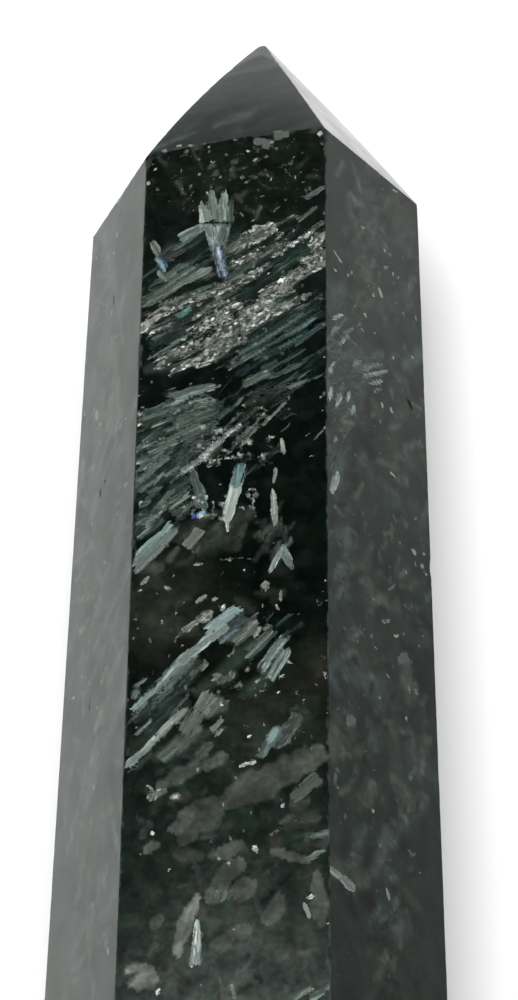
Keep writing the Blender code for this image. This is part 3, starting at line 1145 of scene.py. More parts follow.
        (264, 926, 284, 894, 18), (144, 852, 160, 842, 10)),
    Look((103, 108, 101), Form.BLOCK, 0.3, 0.6, 0.2, 0.1).group(
        (146, 796, 168, 790, 6), (150, 801, 158, 792, 6), (171, 797, 181, 793, 6), (144, 786, 152, 790, 4)),
    Look((118, 121, 113), Form.VEIL, 0.2, soft=0.7).group(
        (128, 986, 156, 968, 18), (134, 992, 158, 978, 14), (126, 972, 146, 964, 10)),
    Look((108, 113, 107), Form.VEIL, 0.1, soft=0.25).group(
        (198, 892, 174, 952, 17), (174, 956, 186, 936, 13)),
    Look((140, 152, 146), Form.WEDGE, 0.8, 0.15, 0.35, 0.08).group(
        (195.5, 970, 198.5, 912, 14), (192, 968, 195, 940, 7)),
    # The foot of the picture, and specks all over
    Look((96, 104, 98), Form.LATH, 0.6, 0.2).group(
        (304, 902, 311, 920, 3.4), (268, 836, 283, 827.5, 3.4), (231, 981, 236, 1001, 4)),
    Look((88, 99, 94), Form.BLOCK, 0.6, 0.2, 0.3, 0.12).group(
        (312, 838, 332, 829, 8), (219, 899, 227, 890, 5), (300, 860, 326, 850, 5)),
    Look((98, 113, 106), Form.LATH, 0.6, 0.1, 0.3, 0.06).group(
        (288, 1002, 318, 984, 6), (308, 1000, 338, 981, 6.5)),
    Scatter(
        (228, 170), (98, 46), 30, 60, 130, (1.6, 4.4), (1.2, 2.6), (SAGE, MIST, UMBER, SILVER), SPARK, 35,
        (0.4, 1.5)),
    Scatter(
        (228, 560), (98, 430), 30, 60, 170, (1.6, 4), (1.2, 2.4), (SILVER, SAGE, UMBER, MIST), SPARK, 36),
    SHOULDER_FLAKES,
    SHOULDER_CRUMBS,
    Look((204, 206, 196), Form.BLOCK, 0.3, 0.3, 0.2, 0.08).group((318, 132, 325, 134.5, 7.5)),
    Look(RUST, Form.BLOCK, 0.3, 0.3, 0.1, 0.1).group((322.4, 137.5, 323.4, 145, 4)),
    Scatter((137.5, 440), (3, 330), 60, 40, 36, (1.6, 4.4), (1.4, 3), (SILVER, SAGE, PEARL), SPARK, 37),
    Scatter((325.5, 440), (3, 330), 60, 40, 16, (1.6, 4.4), (1.4, 2.6), (SILVER, SAGE, PEARL), SPARK, 38),
    SPARK.group(
        (199.5, 427, 204.5, 425.5, 4.4), (217, 430, 222.5, 429, 4), (246.5, 444.5, 251.5, 442, 4),
        (269, 436.5, 275.5, 435, 3), (260, 408, 262.5, 406, 3), (309, 458.5, 313, 457, 3),
        (183, 509.5, 186.5, 507, 4), (242, 571.5, 244.5, 570.5, 3.2), (160, 621.6, 163, 620.6, 3),
        (302, 701.5, 306, 700, 3.4), (228, 701.5, 230.5, 700.5, 3.2), (280, 678, 284, 676, 3.6),
        (246.5, 735.5, 250, 734, 3.4), (286, 663, 289.5, 661, 3.4), (150, 834.5, 154.5, 832.5, 5),
        (252, 850.5, 257.5, 848, 5), (281.5, 807, 285, 805.5, 4.4), (226.5, 865, 232, 863.5, 5.4),
        (307.5, 897.5, 311, 896.5, 3.6), (327.5, 925, 330.5, 923, 4), (157, 993, 161.5, 990, 5),
        (173.5, 797.5, 179, 794, 5), (241, 768, 254, 761, 6), (200, 985, 203, 983, 4),
        (168.5, 869.5, 171.5, 868, 3), (140, 854, 142.5, 853, 2.4), (144, 940, 146, 938, 2.6)),
)

# The right face, in photo pixels
RIGHT_LAYERS: Layers = (
    Scatter((380, 560), (56, 430), 90, 40, 150, (20, 70), (12, 34), SIDE_MOTTLES, CLOUD, 41),
    Scatter((380, 560), (52, 430), 70, 60, 420, (6, 20), (4, 10), (*SIDE_MOTTLES, SMOKE), CLOUD, 45),
    Scatter((392, 1130), (70, 150), 90, 40, 60, (20, 70), (12, 34), SIDE_MOTTLES, CLOUD, 42),
    Scatter((392, 1130), (70, 150), 70, 60, 140, (6, 20), (4, 10), (*SIDE_MOTTLES, SMOKE), CLOUD, 46),
    Look((66, 70, 66), Form.VEIL, 0.3, soft=0.9).group(
        (352, 160, 361, 192, 9), (346, 198, 352, 191, 7), (336, 176, 344, 160, 8), (408, 290, 416, 276, 9)),
    Look((46, 58, 54), Form.VEIL, 0.9, soft=0.9).group(
        (326, 350, 360, 318, 34), (330, 384, 392, 366, 30), (326, 410, 360, 392, 30),
        (328, 470, 350, 430, 20)),
    Scatter(
        (347, 356), (22, 44), 12, 14, 30, (6, 18), (1.4, 2.4), (MIST, DEEP_TEAL, TEAL), NEEDLE, 43,
        (0.4, 1.2)),
    Scatter(
        (342, 425), (14, 36), 50, 12, 16, (6, 16), (1.4, 2.4), (MIST, DEEP_TEAL), NEEDLE, 44, (0.4, 1.2)),
    Look((118, 130, 124), Form.LEAF, 0.5, 0.1).group(
        (353, 365, 361, 361, 3), (364, 367, 382, 364, 2.8), (362, 376, 389, 371.5, 3),
        (368, 384, 384, 380.5, 2.8), (331, 319, 343, 315, 2.8), (330, 334, 339, 326, 3),
        (339, 345, 350, 335, 2.8), (372, 392, 384, 388, 2.4)),
    Look((134, 146, 139), Form.LEAF, 0.5, 0.2, 0.3, 0.05).group(
        (329, 374, 334, 362, 3.4), (328, 401, 333, 386, 4), (335, 408, 342, 394, 3.6),
        (346, 402, 351, 391, 3.6), (332.5, 443, 337.5, 437, 3.4), (331, 493, 339, 471, 7),
        (352, 414, 355, 405, 4), (326, 866, 346, 880, 6), (340, 877, 357, 891, 8),
        (382, 622.5, 392, 620, 2.4), (388, 470, 397, 480, 2.4), (386, 888, 390, 903, 4)),
    Look((80, 89, 84), Form.PLATE, 0.2, 0.1, 0.1, 0.1).group(
        (346, 722, 356, 719, 9), (397, 661, 409, 656, 6), (388, 590, 396, 584, 3)),
    Look((6, 8, 8), Form.LEAF, 0.2, 0.0, -1.0, 0.06).group((406.5, 398, 412.5, 411, 4)),
    Scatter((378, 560), (50, 420), 60, 60, 150, (2, 5), (1.4, 2.4), (SAGE, UMBER, MIST), SPARK, 47),
    Look((150, 152, 142), Form.LEAF, 0.2, 0.2, 0.3, 0.05).group(
        (378, 286, 382.6, 299, 3.4), (372, 293, 374.5, 297, 3), (364.5, 312, 366, 318, 3.2),
        (334, 251, 344, 265.5, 1.8), (334, 268.5, 336.5, 270.5, 2.2), (347, 274, 349.5, 276.5, 2.4),
        (384, 249, 386, 252, 2.4), (392, 273.5, 394.5, 275, 2.6), (381, 401, 384, 410, 2.6),
        (390, 408, 393, 413, 3.2), (379, 421.5, 382, 423.5, 2.4), (354, 304.5, 356, 308, 2),
        (392.5, 357, 394.5, 359, 2.4), (411, 356.5, 413.5, 358, 2.2), (374, 330, 376, 336, 2),
        (411, 548, 417, 555, 4), (420, 563, 424, 570, 3.4), (422, 553, 426, 557, 3),
        (387, 896, 391, 898, 3), (371.5, 812, 374.5, 810, 2.8), (394, 637, 399, 635, 2.4),
        (376, 694, 381, 699, 2.4), (355, 453, 357, 460, 2), (405, 716, 408, 720, 3),
        (408, 690, 411, 694, 2.4), (371, 596, 374, 600, 2.4), (356, 640, 359, 643, 2.2),
        (398, 540, 401, 543, 2.4), (343, 760, 346, 764, 2.4), (419, 870, 422, 873, 2.4)),
)

# The left face, in photo pixels
LEFT_LAYERS: Layers = (
    Scatter((98, 600), (34, 430), 82, 12, 140, (40, 110), (8, 20), (*SIDE_MOTTLES, SMOKE), CLOUD, 51),
    Scatter((70, 1160), (50, 130), 82, 12, 70, (40, 110), (8, 20), (*SIDE_MOTTLES, SMOKE), CLOUD, 52),
    Look((58, 64, 64), Form.VEIL, 0.4, soft=1.0).group(
        (98, 470, 122, 400, 10), (78, 560, 112, 450, 10), (84, 700, 118, 610, 12), (64, 860, 106, 740, 12),
        (70, 960, 110, 860, 12), (118, 330, 130, 250, 8)),
    Scatter((92, 600), (34, 420), 70, 30, 220, (8, 24), (3, 7), (*SIDE_MOTTLES, SMOKE), CLOUD, 53),
    Scatter((100, 600), (30, 380), 70, 40, 70, (2, 5), (1.4, 2.4), (SAGE, MIST), SPARK, 54),
    Look((3, 4, 4), Form.LEAF, 0.2, 0.0, -1.0, 0.05).group(
        (114.8, 293, 113.4, 305, 2), (104.4, 371.5, 105.2, 374.5, 2), (104.6, 479, 105.6, 483, 2.2),
        (100.4, 488, 100.2, 498, 2), (98, 536, 97, 548, 2), (90, 700, 89, 712, 2), (102, 820, 101, 830, 2)),
    Look((112, 112, 105), Form.LEAF, 0.2, 0.2, 0.3, 0.08).group(
        (116.5, 233, 117.5, 238, 2), (114, 250, 115.2, 253, 1.8), (102.5, 301, 103.3, 304.5, 1.8),
        (111.5, 310, 112.4, 315, 3), (111.6, 337.5, 112.3, 340.5, 2), (111.4, 355.5, 112.2, 358, 2.6),
        (96, 409, 97.6, 422, 3.4), (83.7, 412, 84.4, 418, 2.2), (99.2, 441, 99.8, 446, 2.6),
        (88, 640, 89.3, 645, 2), (92, 760, 93.2, 765, 2.2), (78, 880, 79.4, 884, 2.2)),
)

# The near face of the tip, in photo pixels
TIP_LAYERS: Layers = (
    Scatter((238, 104), (80, 50), 26, 16, 36, (36, 90), (12, 26), ((36, 46, 41), BLACK_ROCK), CLOUD, 61),
    replace(CLOUD, dye=(60, 66, 68)).group((212, 128, 252, 112, 14), (150, 150, 196, 132, 10)),
    SHOULDER_FLAKES,
    SHOULDER_CRUMBS,
)

# Soft areas of other rock, in photo pixels
TOP_STAINS = (
    Stain((232, 175), (130, 60), (22, 28, 23), 0.8, 0.7),
    Stain((232, 270), (130, 70), (24, 33, 29), 0.7, 0.6),
    Stain((165, 606), (44, 40), (52, 54, 47), 0.7, 0.3),
    Stain((262, 722), (36, 34), (46, 48, 41), 0.8, 0.4),
    Stain((316, 680), (18, 36), (42, 43, 36), 0.8, 0.2),
    Stain((232, 770), (140, 50), (28, 37, 32), 0.8, 0.4),
    Stain((232, 850), (140, 60), (28, 38, 33), 0.9, 0.3),
    Stain((232, 925), (140, 50), (50, 59, 54), 0.9, 0.4),
    Stain((232, 1220), (200, 120), (24, 32, 28), 1.0, 0.4),
    Stain((232, 1090), (180, 80), (42, 50, 46), 0.9, 0.4),
    Stain((232, 1000), (140, 60), (66, 74, 70), 1.0, 0.4),
)
SIDE_STAINS = (
    Stain((250, 500), (900, 1800), (22, 33, 28), 1.0, 0.5),
)
TIP_STAINS = (
    Stain((240, 110), (400, 400), (25, 35, 30), 1.0, 0.1),
    Stain((300, 112), (26, 34), (18, 20, 14), 0.7, 0.1),
)

PHOTO_LAYOUT = {
    "top": (TOP_STAINS, TOP_LAYERS),
    "upper_right": (SIDE_STAINS, RIGHT_LAYERS),
    "upper_left": (SIDE_STAINS, LEFT_LAYERS),
    "tip_top": (TIP_STAINS, TIP_LAYERS),
}


@dataclass(frozen=True)
class GuessedRock:
    """The blades of an area that the photograph doesn't show, in millimetres."""

    clouds_per_area: float = 0.16
    specks_per_area: float = 0.5
    area_per_fan: float = 120.0
    fans: tuple[tuple[Look, tuple[Triple, ...]], ...] = (
        (TEAL_LATH, (TEAL, DEEP_TEAL, MIST)),
        (GREY_LATH, (MIST, SAGE, DEEP_TEAL)),
        (TEAL_LATH, (SAGE, TEAL, DEEP_TEAL)),
        (BRONZE, (BRONZE_DYE, SMOKE)),
        (SILVER_LATH, (SAGE, SILVER, MIST)),
    )

    def scatters(self, seed: int, low: Pair, high: Pair) -> list[Scatter]:
        """Make up the blades: soft clouds, then fans of laths at random middles, then specks.

        Args:
            seed: Chooses the pattern.
            low: The area's least place across and along.
            high: Its greatest place across and along.

        Returns:
            The scatters, bottom layer first.
        """
        draw = np.random.default_rng(seed)
        middle = ((low[0] + high[0]) / 2.0, (low[1] + high[1]) / 2.0)
        reach = ((high[0] - low[0]) / 2.0, (high[1] - low[1]) / 2.0)
        area = 4.0 * reach[0] * reach[1]
        wide = (reach[0] * 1.3, reach[1] * 1.2)
        clouds = int(area * self.clouds_per_area)
        haze = ((42, 52, 48), SMOKE)
        dust = (MIST, SMOKE)
        made = [
            Scatter(middle, wide, 40, 40, clouds, (1, 4), (0.5, 1.6), haze, GREEN_VEIL, seed + 1),
            Scatter(middle, wide, 60, 60, clouds // 2, (0.6, 2), (0.3, 1), dust, GREY_VEIL, seed + 2),
        ]
        for fan in range(max(1, int(area / self.area_per_fan))):
            look, dyes = self.fans[int(draw.integers(0, len(self.fans)))]
            centre = tuple(draw.uniform(low, high))
            spot = tuple(draw.uniform((2.5, 2.0), (5.0, 4.0)))
            slope = float(draw.uniform(-70.0, 70.0))
            count = int(draw.integers(22, 46))
            key = seed + 10 + fan
            made.append(Scatter(centre, spot, slope, 5, count, (1, 4.5), (0.13, 0.42), dyes, look, key))
        specks = int(area * self.specks_per_area)
        dyes = (SILVER, SAGE, MIST)
        made.append(Scatter(middle, wide, 40, 60, specks, (0.15, 0.4), (0.1, 0.2), dyes, SPARK, seed + 3))
        return made


@dataclass(frozen=True)
class StoneGrid:
    """How finely each face is divided, and where it lies on the flat sheet."""

    long_across: tuple[int, ...] = (46, 98, 34, 24, 20, 24)
    long_along: tuple[int, ...] = (320, 530, 230, 150, 110, 150)
    crowding: float = 1.2
    tip_across: tuple[int, ...] = (30, 56, 30, 26, 26, 26)
    tip_along: tuple[int, ...] = (44, 76, 44, 38, 38, 38)
    widest_ridge: float = 0.25
    base_across: int = 22
    base_rings: int = 22
    last_ring: float = 0.96
    sheet_size: float = 106.0
    lane: float = 14.4


FACE_NAMES = ("upper_right", "top", "upper_left", "lower_left", "underside", "lower_right")


@dataclass
class StoneSurface:
    """Builds the thirteen faces of the stone."""

    shape: StoneShape
    grid: StoneGrid
    long_faces: list[Face] = field(init=False)
    tip_faces: list[Face] = field(init=False)
    base_face: Face = field(init=False)

    def __post_init__(self) -> None:
        """Make the faces and number their points one after the other."""
        self.long_faces = [self.make_long_face(number) for number in range(6)]
        self.tip_faces = [self.make_tip_face(number) for number in range(6)]
        self.base_face = self.make_base_face()
        first = 0
        for face in self.faces():
            face.first = first
            first += face.across.size

    def faces(self) -> list[Face]:
        """Return every face, in the order of their points."""
        return [*self.long_faces, *self.tip_faces, self.base_face]

    def make_long_face(self, number: int) -> Face:
        """Make the grid of one long face, whose borders follow the worn edges.

        Rows run from the shoulder to the base, at s ^ 1.2 for even shares s, so that they
        crowd toward the shoulder. Each row is spread evenly between the cuts of its two long
        edges, and each column between the cuts of the shoulder and the base.

        Args:
            number: The face, between this corner and the next.

        Returns:
            The face.
        """
        shape = self.shape
        grid = self.grid
        along = np.linspace(0.0, 1.0, grid.long_along[number] + 1)[:, None] ** grid.crowding
        across = np.linspace(0.0, 1.0, grid.long_across[number] + 1)[None, :]
        length = shape.long_length()
        width = shape.side * (1.0 + (shape.base_growth - 1.0) * along)
        low = shape.cut(Run.LONG, number, along * length) / width
        high = 1.0 - shape.cut(Run.LONG, number + 1, along * length) / width
        top = (shape.cut(Run.SHOULDER, number, across * shape.side) - shape.bow(number, across)) / length
        bottom = 1.0 - shape.cut(Run.BASE, number, across * shape.side) / length
        u = low + (high - low) * across
        v = top + (bottom - top) * along
        to_side = np.minimum(u - low, high - u) * shape.side
        gap = np.minimum(to_side, np.minimum(v - top, bottom - v) * length)
        points = shape.long_surface(number, u, v)
        page = ((number + 0.5) * grid.lane, length + 0.5)
        return Face(FACE_NAMES[number], points, (u - 0.5) * shape.side, v * length, gap, page)

    def make_tip_face(self, number: int) -> Face:
        """Make the grid of one face of the tip, with rows from the blunt end to the shoulder.

        Args:
            number: The face, between this ridge and the next.

        Returns:
            The face.
        """
        shape = self.shape
        grid = self.grid
        along = np.linspace(0.0, 1.0, grid.tip_along[number] + 1)[:, None]
        across = np.linspace(0.0, 1.0, grid.tip_across[number] + 1)[None, :]
        slant = float(np.hypot(shape.tip_length, shape.side * APOTHEM))
        ridge = float(np.hypot(shape.tip_length, shape.side))
        last = 1.0 - shape.cut(Run.SHOULDER, number, across * shape.side) / slant
        t = shape.tip_start + (last - shape.tip_start) * along
        width = shape.side * (shape.tip_start + (1.0 - shape.tip_start) * along)
        low, high_cut = (
            np.minimum(shape.cut(Run.RIDGE, edge, (1.0 - along) * ridge) / width, grid.widest_ridge)
            for edge in (number, number + 1)
        )
        high = 1.0 - high_cut
        u = low + (high - low) * across
        to_side = np.minimum(u - low, high - u) * width
        gap = np.minimum(to_side, np.minimum(along, 1.0 - along) * slant)
        points = shape.tip_surface(number, u, t)
        page = ((number + 0.5) * grid.lane, shape.long_length() + 2.2)
        name = "tip_" + FACE_NAMES[number]
        return Face(name, points, (u - 0.5) * shape.side * t, (t - 1.0) * slant, gap, page)

    def make_base_face(self) -> Face:
        """Make the flat base: rings that shrink from the cut edge toward the middle.

        Returns:
            The face. Its columns close on themselves.
        """
        shape = self.shape
        grid = self.grid
        corners = shape.base()
        middle = corners.mean(axis=0)
        reach = np.linalg.norm(corners - middle, axis=1, keepdims=True)
        corners = middle + (corners - middle) * (1.0 - shape.bevel / reach)
        steps = np.linspace(0.0, 1.0, grid.base_across, endpoint=False)
        following = np.roll(corners, -1, axis=0)
        border = corners[:, None] + steps[None, :, None] * (following - corners)[:, None]
        border = border.reshape(1, -1, 3)
        shrink = 1.0 - np.linspace(0.0, grid.last_ring, grid.base_rings)[:, None, None]
        points = middle + shrink * (border - middle)
        x, _, z = np.moveaxis(points - middle, -1, 0)
        gap = (1.0 - shrink[..., 0]) * shape.side * np.ones_like(x)
        return Face("base", points, x, z, gap, (grid.lane * 6.0 + 9.0, 8.0), 0.6, closed=True)


@dataclass
class StoneMesh:
    """Joins the faces with strips along the edges into one closed mesh."""

    surface: StoneSurface
    triangles: list[Array] = field(default_factory=list)
    sheets: list[Array] = field(default_factory=list)

    gap_on_sheet = 0.45

    def sheet_at(self) -> Array:
        """Return where every numbered point lies on the flat sheet."""
        return np.concatenate([face.sheet().reshape(-1, 2) for face in self.surface.faces()])

    def add(self, corners: Array, sheet: Array) -> None:
        """Keep triangles, given as point numbers and as places on the sheet, shape (n, 3, 2)."""
        self.triangles.append(corners)
        self.sheets.append(sheet)

    def add_grid(self, face: Face) -> None:
        """Add a face's own triangles: two for each cell, cut along alternate diagonals.

        Args:
            face: The face, whose columns close on themselves where it says so.
        """
        index = face.index()
        if face.closed:
            index = np.concatenate([index, index[:, :1]], axis=1)
        a = index[:-1, :-1].ravel()
        b = index[:-1, 1:].ravel()
        c = index[1:, 1:].ravel()
        d = index[1:, :-1].ravel()
        odd = (np.arange(a.size) % 2 == 0)[:, None]
        first = np.where(odd, np.stack([a, b, c], axis=1), np.stack([a, b, d], axis=1))
        second = np.where(odd, np.stack([a, c, d], axis=1), np.stack([b, c, d], axis=1))
        corners = np.concatenate([first, second])
        self.add(corners, self.sheet_at()[corners])

    def add_strip(self, first: Border, second: Border, out: Pair, keep_second: bool = False) -> None:
        """Zip two borders that run side by side into one strip of triangles.

        All steps of both borders are sorted by place. Each step makes a triangle of its own
        start, the other border's latest point and its own end. On the sheet one border keeps
        its place, and the other lies beside it, moved out by the strip's width.

        Args:
            first: The first border.
            second: The second border.
            out: Direction on the sheet away from the border that keeps its place.
            keep_second: Whether that is the second border, and not the first.
        """
        at = np.concatenate([first.at[1:], second.at[1:]])
        order = np.argsort(at, kind="stable")
        on_first = order < first.at.size - 1
        i = np.cumsum(on_first) - on_first
        j = np.cumsum(~on_first) - ~on_first
        kept, moved = (second, first) if keep_second else (first, second)
        kept_sheet = self.sheet_at()[kept.points]
        beside = [np.interp(moved.at, kept.at, kept_sheet[:, axis]) for axis in (0, 1)]
        sheets = [kept_sheet, np.stack(beside, axis=1) + np.array(out) * self.gap_on_sheet]
        first_sheet, second_sheet = reversed(sheets) if keep_second else sheets
        after_i = np.minimum(i + 1, first.at.size - 1)
        after_j = np.minimum(j + 1, second.at.size - 1)
        third = np.where(on_first, first.points[after_i], second.points[after_j])
        third_sheet = np.where(on_first[:, None], first_sheet[after_i], second_sheet[after_j])
        corners = np.stack([first.points[i], second.points[j], third], axis=1)
        self.add(corners, np.stack([first_sheet[i], second_sheet[j], third_sheet], axis=1))

    def add_corner(self, numbers: tuple[int, ...], offsets: tuple[Pair, ...]) -> None:
        """Add one small flat corner as a fan of triangles.

        Args:
            numbers: Its point numbers in order.
            offsets: Each point's place on the sheet from the last one's, in widths of a strip.
        """
        sheet = self.sheet_at()[numbers[-1]] + np.array(offsets) * self.gap_on_sheet
        for k in range(1, len(numbers) - 1):
            pick = [0, k, k + 1]
            self.add(np.array([[numbers[n] for n in pick]]), sheet[pick][None])

    def join_edges(self) -> None:
        """Add the strips along the edges, the corners between them and both end caps."""
        surface = self.surface
        sheet = self.sheet_at()
        summit = sheet.shape[0]
        base_index = surface.base_face.index()
        per_side = surface.grid.base_across
        border = np.append(base_index[0], base_index[0, 0])
        for k in range(6):
            after = (k + 1) % 6
            here, there = surface.long_faces[k], surface.long_faces[after]
            tip, next_tip = surface.tip_faces[k], surface.tip_faces[after]
            low, low_next = here.index(), there.index()
            up, up_next = tip.index(), next_tip.index()
            self.add_strip(here.side(-1), there.side(0), (1, 0))
            self.add_strip(tip.side(-1), next_tip.side(0), (1, 0))
            self.add_strip(here.end(0), tip.end(-1), (0, 1))
            points = border[k * per_side : (k + 1) * per_side + 1]
            at = np.linspace(here.across[-1, 0], here.across[-1, -1], points.size)
            self.add_strip(Border(points, at), here.end(-1), (0, -1), keep_second=True)
            shoulder = (up[-1, -1], up_next[-1, 0], low_next[0, 0], low[0, -1])
            self.add_corner(shoulder, ((0, 1), (1, 1), (1, 0), (0, 0)))
            foot = (low_next[-1, 0], border[(k + 1) * per_side], low[-1, -1])
            self.add_corner(foot, ((1, 0), (0, -1), (0, 0)))
            ring = np.append(up[0], up_next[0, 0])
            ring_sheet = np.concatenate([sheet[up[0]], sheet[up[0, -1:]] + [self.gap_on_sheet, 0.0]])
            top = np.tile(ring_sheet.mean(axis=0) + [0.0, 0.5], (ring.size - 1, 1))
            fan = np.stack([ring[:-1], np.full(ring.size - 1, summit), ring[1:]], axis=1)
            self.add(fan, np.stack([ring_sheet[:-1], top, ring_sheet[1:]], axis=1))
        inner = np.append(base_index[-1], base_index[-1, 0])
        inner_sheet = sheet[inner]
        heart = np.tile(inner_sheet[:-1].mean(axis=0), (inner.size - 1, 1))
        fan = np.stack([inner[:-1], inner[1:], np.full(inner.size - 1, summit + 1)], axis=1)
        self.add(fan, np.stack([inner_sheet[:-1], inner_sheet[1:], heart], axis=1))

    def positions(self) -> tuple[Array, Array]:
        """Collect the points of the whole mesh.

        Returns:
            Every point and its outward direction, with the two caps' middles last.
        """
        shape = self.surface.shape
        faces = self.surface.faces()
        summit = shape.sharp_point()
        summit[1] = shape.length / 2.0
        caps = np.stack([summit, shape.base().mean(axis=0)])
        points = [*(face.points.reshape(-1, 3) for face in faces), caps]
        outward = np.array([[0.0, 1.0, 0.0], [0.0, -1.0, 0.0]])
        normals = [*(face.normals().reshape(-1, 3) for face in faces), outward]
        return np.concatenate(points), np.concatenate(normals)

    def build(self, name: str) -> bpy.types.Mesh:
        """Make the mesh, with its flat sheet as a UV map and the faces' own directions.

        Args:
            name: What the mesh is called.

        Returns:
            The mesh, in metres.
        """
        for face in self.surface.faces():
            self.add_grid(face)
        self.join_edges()
        points, normals = self.positions()
        corners = np.concatenate(self.triangles)
        sheet = np.concatenate(self.sheets) / self.surface.grid.sheet_size
        mesh = bpy.data.meshes.new(name)
        mesh.from_pydata((points * MM).tolist(), [], corners.tolist())
        layer = mesh.uv_layers.new(name="OFBake")
        layer.data.foreach_set("uv", sheet.reshape(-1).astype(np.float32))
        mesh.shade_smooth()
        mesh.update()
        mesh.normals_split_custom_set_from_vertices(normals.tolist())
        LOG.info("%s: %d triangles", name, len(corners))
        return mesh


class Value:
    """One number that changes over the surface: a socket with Python's arithmetic."""

    def __init__(self, nodes: "Nodes", socket: Socket) -> None:
        """Wrap a socket."""
        self.nodes = nodes
        self.socket = socket

    def __add__(self, other: "Number") -> "Value":
        """Add a number or another value."""
        return self.nodes.math("ADD", self, other)

    __radd__ = __add__

    def __sub__(self, other: "Number") -> "Value":
        """Take away a number or another value."""
        return self.nodes.math("SUBTRACT", self, other)

    def __rsub__(self, other: "Number") -> "Value":
        """Take this from a number."""
        return self.nodes.math("SUBTRACT", other, self)

    def __mul__(self, other: "Number") -> "Value":
        """Multiply by a number or another value."""
        return self.nodes.math("MULTIPLY", self, other)

    __rmul__ = __mul__


Number = float | Value
Inputs = dict[str | int, object]


@dataclass(frozen=True)
class Mottle:
    """Smooth noise that eases from low to high as it goes from start to end."""

    scale: float
    detail: float
    start: float
    end: float
    low: float = 0.0
    high: float = 1.0
    rough: float = 0.5


@dataclass(frozen=True)
class Specks:
    """One layer of specks: the cells that may hold one, how many do, and how they look.

    Rarity is the share of cells that stay empty, and size the greatest distance from a
    cell's middle, in cells, that a speck reaches.
    """

    scale: float
    rarity: float
    size: float
    soft: float
    share: float
    dye: Triple


